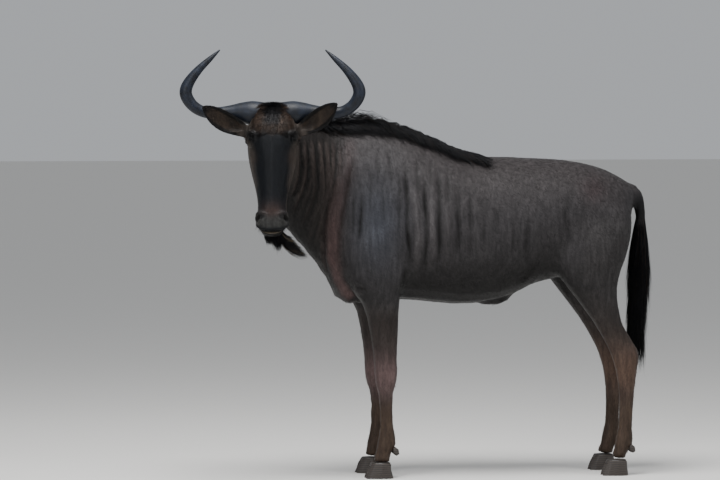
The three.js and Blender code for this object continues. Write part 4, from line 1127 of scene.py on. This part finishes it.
middle = (np.abs(h[:, 0] - 2) < 28 + draw.normal(0, 7, count)) & (h[:, 2] > 66)
colours[middle] = COAT["patch"]
length = draw.uniform(11, 19, count) * (1 + 0.6 * top)
forelock = blades("forelock_hair", root, start, end, out, length, draw.uniform(1.2, 2.0, count), 4,
                  colours * draw.uniform(0.6, 1.4, count)[:, None], "head", sway=0.15, seed=6)
forelock.data.materials.append(hair_black)
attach(forelock, "root")
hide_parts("forelock")

# Bristles. Stiff single hairs stand on lips and chin, and a row of lashes lines each upper lid. One
# node tree grows a bristle on every root; roots carry its direction, length, colour and map place.
bristle_tree = bpy.data.node_groups.new("bristles", "GeometryNodeTree")
bristle_tree.interface.new_socket("Roots", in_out="INPUT", socket_type="NodeSocketGeometry")
BRISTLE_INPUTS = {}
for name, kind, value in (
    ("Half thickness", "NodeSocketFloat", 0.0004), ("Shortest share", "NodeSocketFloat", 0.55),
    ("Seed", "NodeSocketInt", 5), ("Hair", "NodeSocketMaterial", hair_black),
):
    socket = bristle_tree.interface.new_socket(name, in_out="INPUT", socket_type=kind)
    BRISTLE_INPUTS[socket.identifier] = value
bristle_tree.interface.new_socket("Bristles", in_out="OUTPUT", socket_type="NodeSocketGeometry")
given = add(bristle_tree, "NodeGroupInput")
spike = add(bristle_tree, "GeometryNodeMeshCone", Vertices=4, Side_Segments=2, Radius_Bottom=1.0, Depth=1.0)
patched = add(bristle_tree, "GeometryNodeStoreNamedAttribute", {"data_type": "FLOAT2", "domain": "CORNER"},
              Geometry=spike.outputs["Mesh"], Name="patch", Value=spike.outputs["UV Map"])
lie = add(bristle_tree, "GeometryNodeInputNamedAttribute", {"data_type": "FLOAT_VECTOR"}, Name="lie")
full_length = add(bristle_tree, "GeometryNodeInputNamedAttribute", {"data_type": "FLOAT"}, Name="long")
heading = add(bristle_tree, "FunctionNodeAlignRotationToVector", {"axis": "Z"},
              Vector=lie.outputs["Attribute"])
uneven = add(bristle_tree, "FunctionNodeRandomValue", {"data_type": "FLOAT"},
             i2=given.outputs["Shortest share"], i3=1.0, Seed=given.outputs["Seed"])
reach = add(bristle_tree, "ShaderNodeMath", {"operation": "MULTIPLY"},
            i0=full_length.outputs["Attribute"], i1=uneven.outputs[1])
size = add(bristle_tree, "ShaderNodeCombineXYZ", X=given.outputs["Half thickness"],
           Y=given.outputs["Half thickness"], Z=reach.outputs["Value"])
grown = add(bristle_tree, "GeometryNodeInstanceOnPoints", Points=given.outputs["Roots"],
            Instance=patched.outputs["Geometry"], Rotation=heading.outputs["Rotation"],
            Scale=size.outputs["Vector"])
real = add(bristle_tree, "GeometryNodeRealizeInstances", Geometry=grown.outputs["Instances"])
patch = add(bristle_tree, "GeometryNodeInputNamedAttribute", {"data_type": "FLOAT_VECTOR"}, Name="patch")
home = add(bristle_tree, "GeometryNodeInputNamedAttribute", {"data_type": "FLOAT_VECTOR"}, Name="home")
on_map = add(bristle_tree, "ShaderNodeVectorMath", {"operation": "MULTIPLY_ADD"},
             i0=patch.outputs["Attribute"], i1=(HAIR_PATCH, HAIR_PATCH, 0.0), i2=home.outputs["Attribute"])
mapped = add(bristle_tree, "GeometryNodeStoreNamedAttribute", {"data_type": "FLOAT2", "domain": "CORNER"},
             Geometry=real.outputs["Geometry"], Name="OFBake", Value=on_map.outputs["Vector"])
dressed = add(bristle_tree, "GeometryNodeSetMaterial",
              Geometry=mapped.outputs["Geometry"], Material=given.outputs["Hair"])
add(bristle_tree, "NodeGroupOutput", Bristles=dressed.outputs["Geometry"])

draw = np.random.default_rng(25)
head = in_head(skin_points)
bearing = (np.abs(head[:, 0]) < 58) & (head[:, 2] < -296) & (head[:, 2] > -366) & (head[:, 1] < -50)
chosen = draw.choice(np.nonzero(bearing)[0], 110, replace=False)
muzzle_root, muzzle_lie = skin_points[chosen], skin_outward[chosen] + np.array([0, 0, -0.8])
turn = np.radians(np.linspace(12, 168, 30))
lash_root, lash_lie = [], []
for sign, centre in zip((1, -1), EYES):
    y, z = 15.5 * np.cos(turn) - 3, 9.5 * np.sin(turn)
    x = sign * np.sqrt((EYE_RADIUS + 3.4) ** 2 - y ** 2 - z ** 2)
    lash_root.append(np.array(centre) + np.stack([x, y, z], axis=1))
    lash_lie.append(np.stack([np.full(30, sign * 0.8), 0.5 * np.cos(turn), 0.1 + 0.2 * np.sin(turn)], axis=1))
lash_root = from_head(np.concatenate(lash_root))
lash_lie = turned_with_head(np.concatenate(lash_lie))
roots = np.concatenate([muzzle_root, lash_root])
root_mesh = bpy.data.meshes.new("bristle_roots")
root_mesh.from_pydata((roots / 1000).tolist(), [], [])
for name, kind, values in (
    ("lie", "FLOAT_VECTOR", np.concatenate([muzzle_lie, lash_lie])),
    ("long", "FLOAT", np.repeat([0.018, 0.011], [110, 60])),
    ("home", "FLOAT_VECTOR", np.pad(unwrapped(roots, "head"), ((0, 0), (0, 1)))),
):
    layer = root_mesh.attributes.new(name, kind, "POINT")
    layer.data.foreach_set("value" if kind == "FLOAT" else "vector", values.astype(np.float32).ravel())
keep_colour(root_mesh, np.where((np.arange(170) < 110)[:, None], HAIR["black"], HAIR["brown"]))
holder = placed("bristle_roots", root_mesh)
grower = holder.modifiers.new("bristles", "NODES")
grower.node_group = bristle_tree
for identifier, value in BRISTLE_INPUTS.items():
    grower[identifier] = value
bristles = placed("lash_and_lip_bristles", finished(holder, "lash_and_lip_bristles"))
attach(bristles, "root")

# Short coat. Tufts of short stiff hair lie flat along the body, shortest on face and legs, and carry
# the colour of the skin under them, its painted shade and highlight with it; they are rooted just
# inside it and soften the outline.
hide_mesh.calc_loop_triangles()
tri = np.empty(len(hide_mesh.loop_triangles) * 3, np.int32)
hide_mesh.loop_triangles.foreach_get("vertices", tri)
tri = tri.reshape(-1, 3)
corner = skin_points[tri]
area = np.linalg.norm(np.cross(corner[:, 1] - corner[:, 0], corner[:, 2] - corner[:, 0]), axis=1) / 2
middle = corner.mean(axis=1)
head = in_head(middle)
on_face = (head[:, 1] < 150) & (head[:, 2] > -420) & (np.abs(head[:, 0]) < 300)
on_face &= (middle[:, 0] < -250) & (middle[:, 2] > 880)
on_leg = middle[:, 2] < 740
on_tail = (middle[:, 0] > 860) & (middle[:, 2] < 1110)
on_neck = (middle[:, 0] < -240) & ~on_face & ~on_leg
on_trunk = ~(on_face | on_leg | on_tail | on_neck)
left_half = middle[:, 1] < middle_y
TUFTS = [  # name, where, how many, length, width, height at mid length, region of the map
    ("coat_trunk_left", on_trunk & left_half, 18000, 12, 1.7, 1.0, "trunk"),
    ("coat_trunk_right", on_trunk & ~left_half, 18000, 12, 1.7, 1.0, "trunk"),
    ("coat_neck", on_neck, 18000, 12, 1.5, 1.0, "trunk"),
    ("coat_legs", on_leg, 17500, 9, 1.3, 0.7, "legs"),
    ("coat_head", on_face, 19000, 6.5, 1.0, 0.7, "head"),
]
for number, (name, where, count, long, wide, high, region) in enumerate(TUFTS):
    draw = np.random.default_rng(40 + number)
    chosen = np.nonzero(where)[0]
    chosen = draw.choice(chosen, count, p=area[chosen] / area[chosen].sum())
    weight = draw.dirichlet((1, 1, 1), count)
    root = (corner[chosen] * weight[:, :, None]).sum(axis=1)
    out = unit((skin_outward[tri[chosen]] * weight[:, :, None]).sum(axis=1))
    h = in_head(root)
    if region == "head":
        side = np.sign(h[:, 0])
        ears = np.abs(h[:, 0]) > 112
        backward = np.where(np.abs(out @ from_ear_front) > 0.5, -0.1, 0.8)
        lie = np.stack([0.25 * side, backward, np.full(count, -1.0)], axis=1)
        lie[ears] = np.stack([side, np.zeros(count), np.full(count, 0.6)], axis=1)[ears]
        lie = turned_with_head(lie)
    elif region == "legs":
        lie = np.tile([0.15, 0.0, -1.0], (count, 1))
    else:
        aside_share = step(np.abs(out[:, 1]), 0.3, 0.8)
        back_share = 1 - 0.6 * aside_share
        lie = np.stack([back_share, 0.4 * step(root[:, 0], -260, -420), -0.15 - 0.9 * aside_share], axis=1)
    lie = lie + draw.normal(0, 0.1, (count, 3))
    lie = unit(lie - out * (lie * out).sum(axis=1)[:, None])
    tall = high * draw.uniform(0.4, 1.5, count)
    lift = np.stack([np.full(count, -0.4), tall, tall * draw.uniform(0.2, 1.3, count)], axis=1)
    colours = coat_colour_with_painted_light(root, out) * draw.uniform(0.75, 1.3, count)[:, None]
    share, aside, in_ear = on_ear(h)
    pale = (in_ear > 0.5) & (np.abs(aside) < 0.6) & (out @ from_ear_front > 0.2)
    pale &= draw.uniform(0, 1, count) < 0.22
    colours[pale] = COAT["ear_hair"]
    coat_piece = blades(name, root, unit(lie + out * 0.3), lie, out, long * draw.uniform(0.6, 1.3, count),
                        wide * draw.uniform(0.7, 1.3, count), 2, colours, region, seed=60 + number,
                        thick=0.13, lift=lift, smooth=False)
    coat_piece.data.materials.append(hair_short)
    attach(coat_piece, "root")
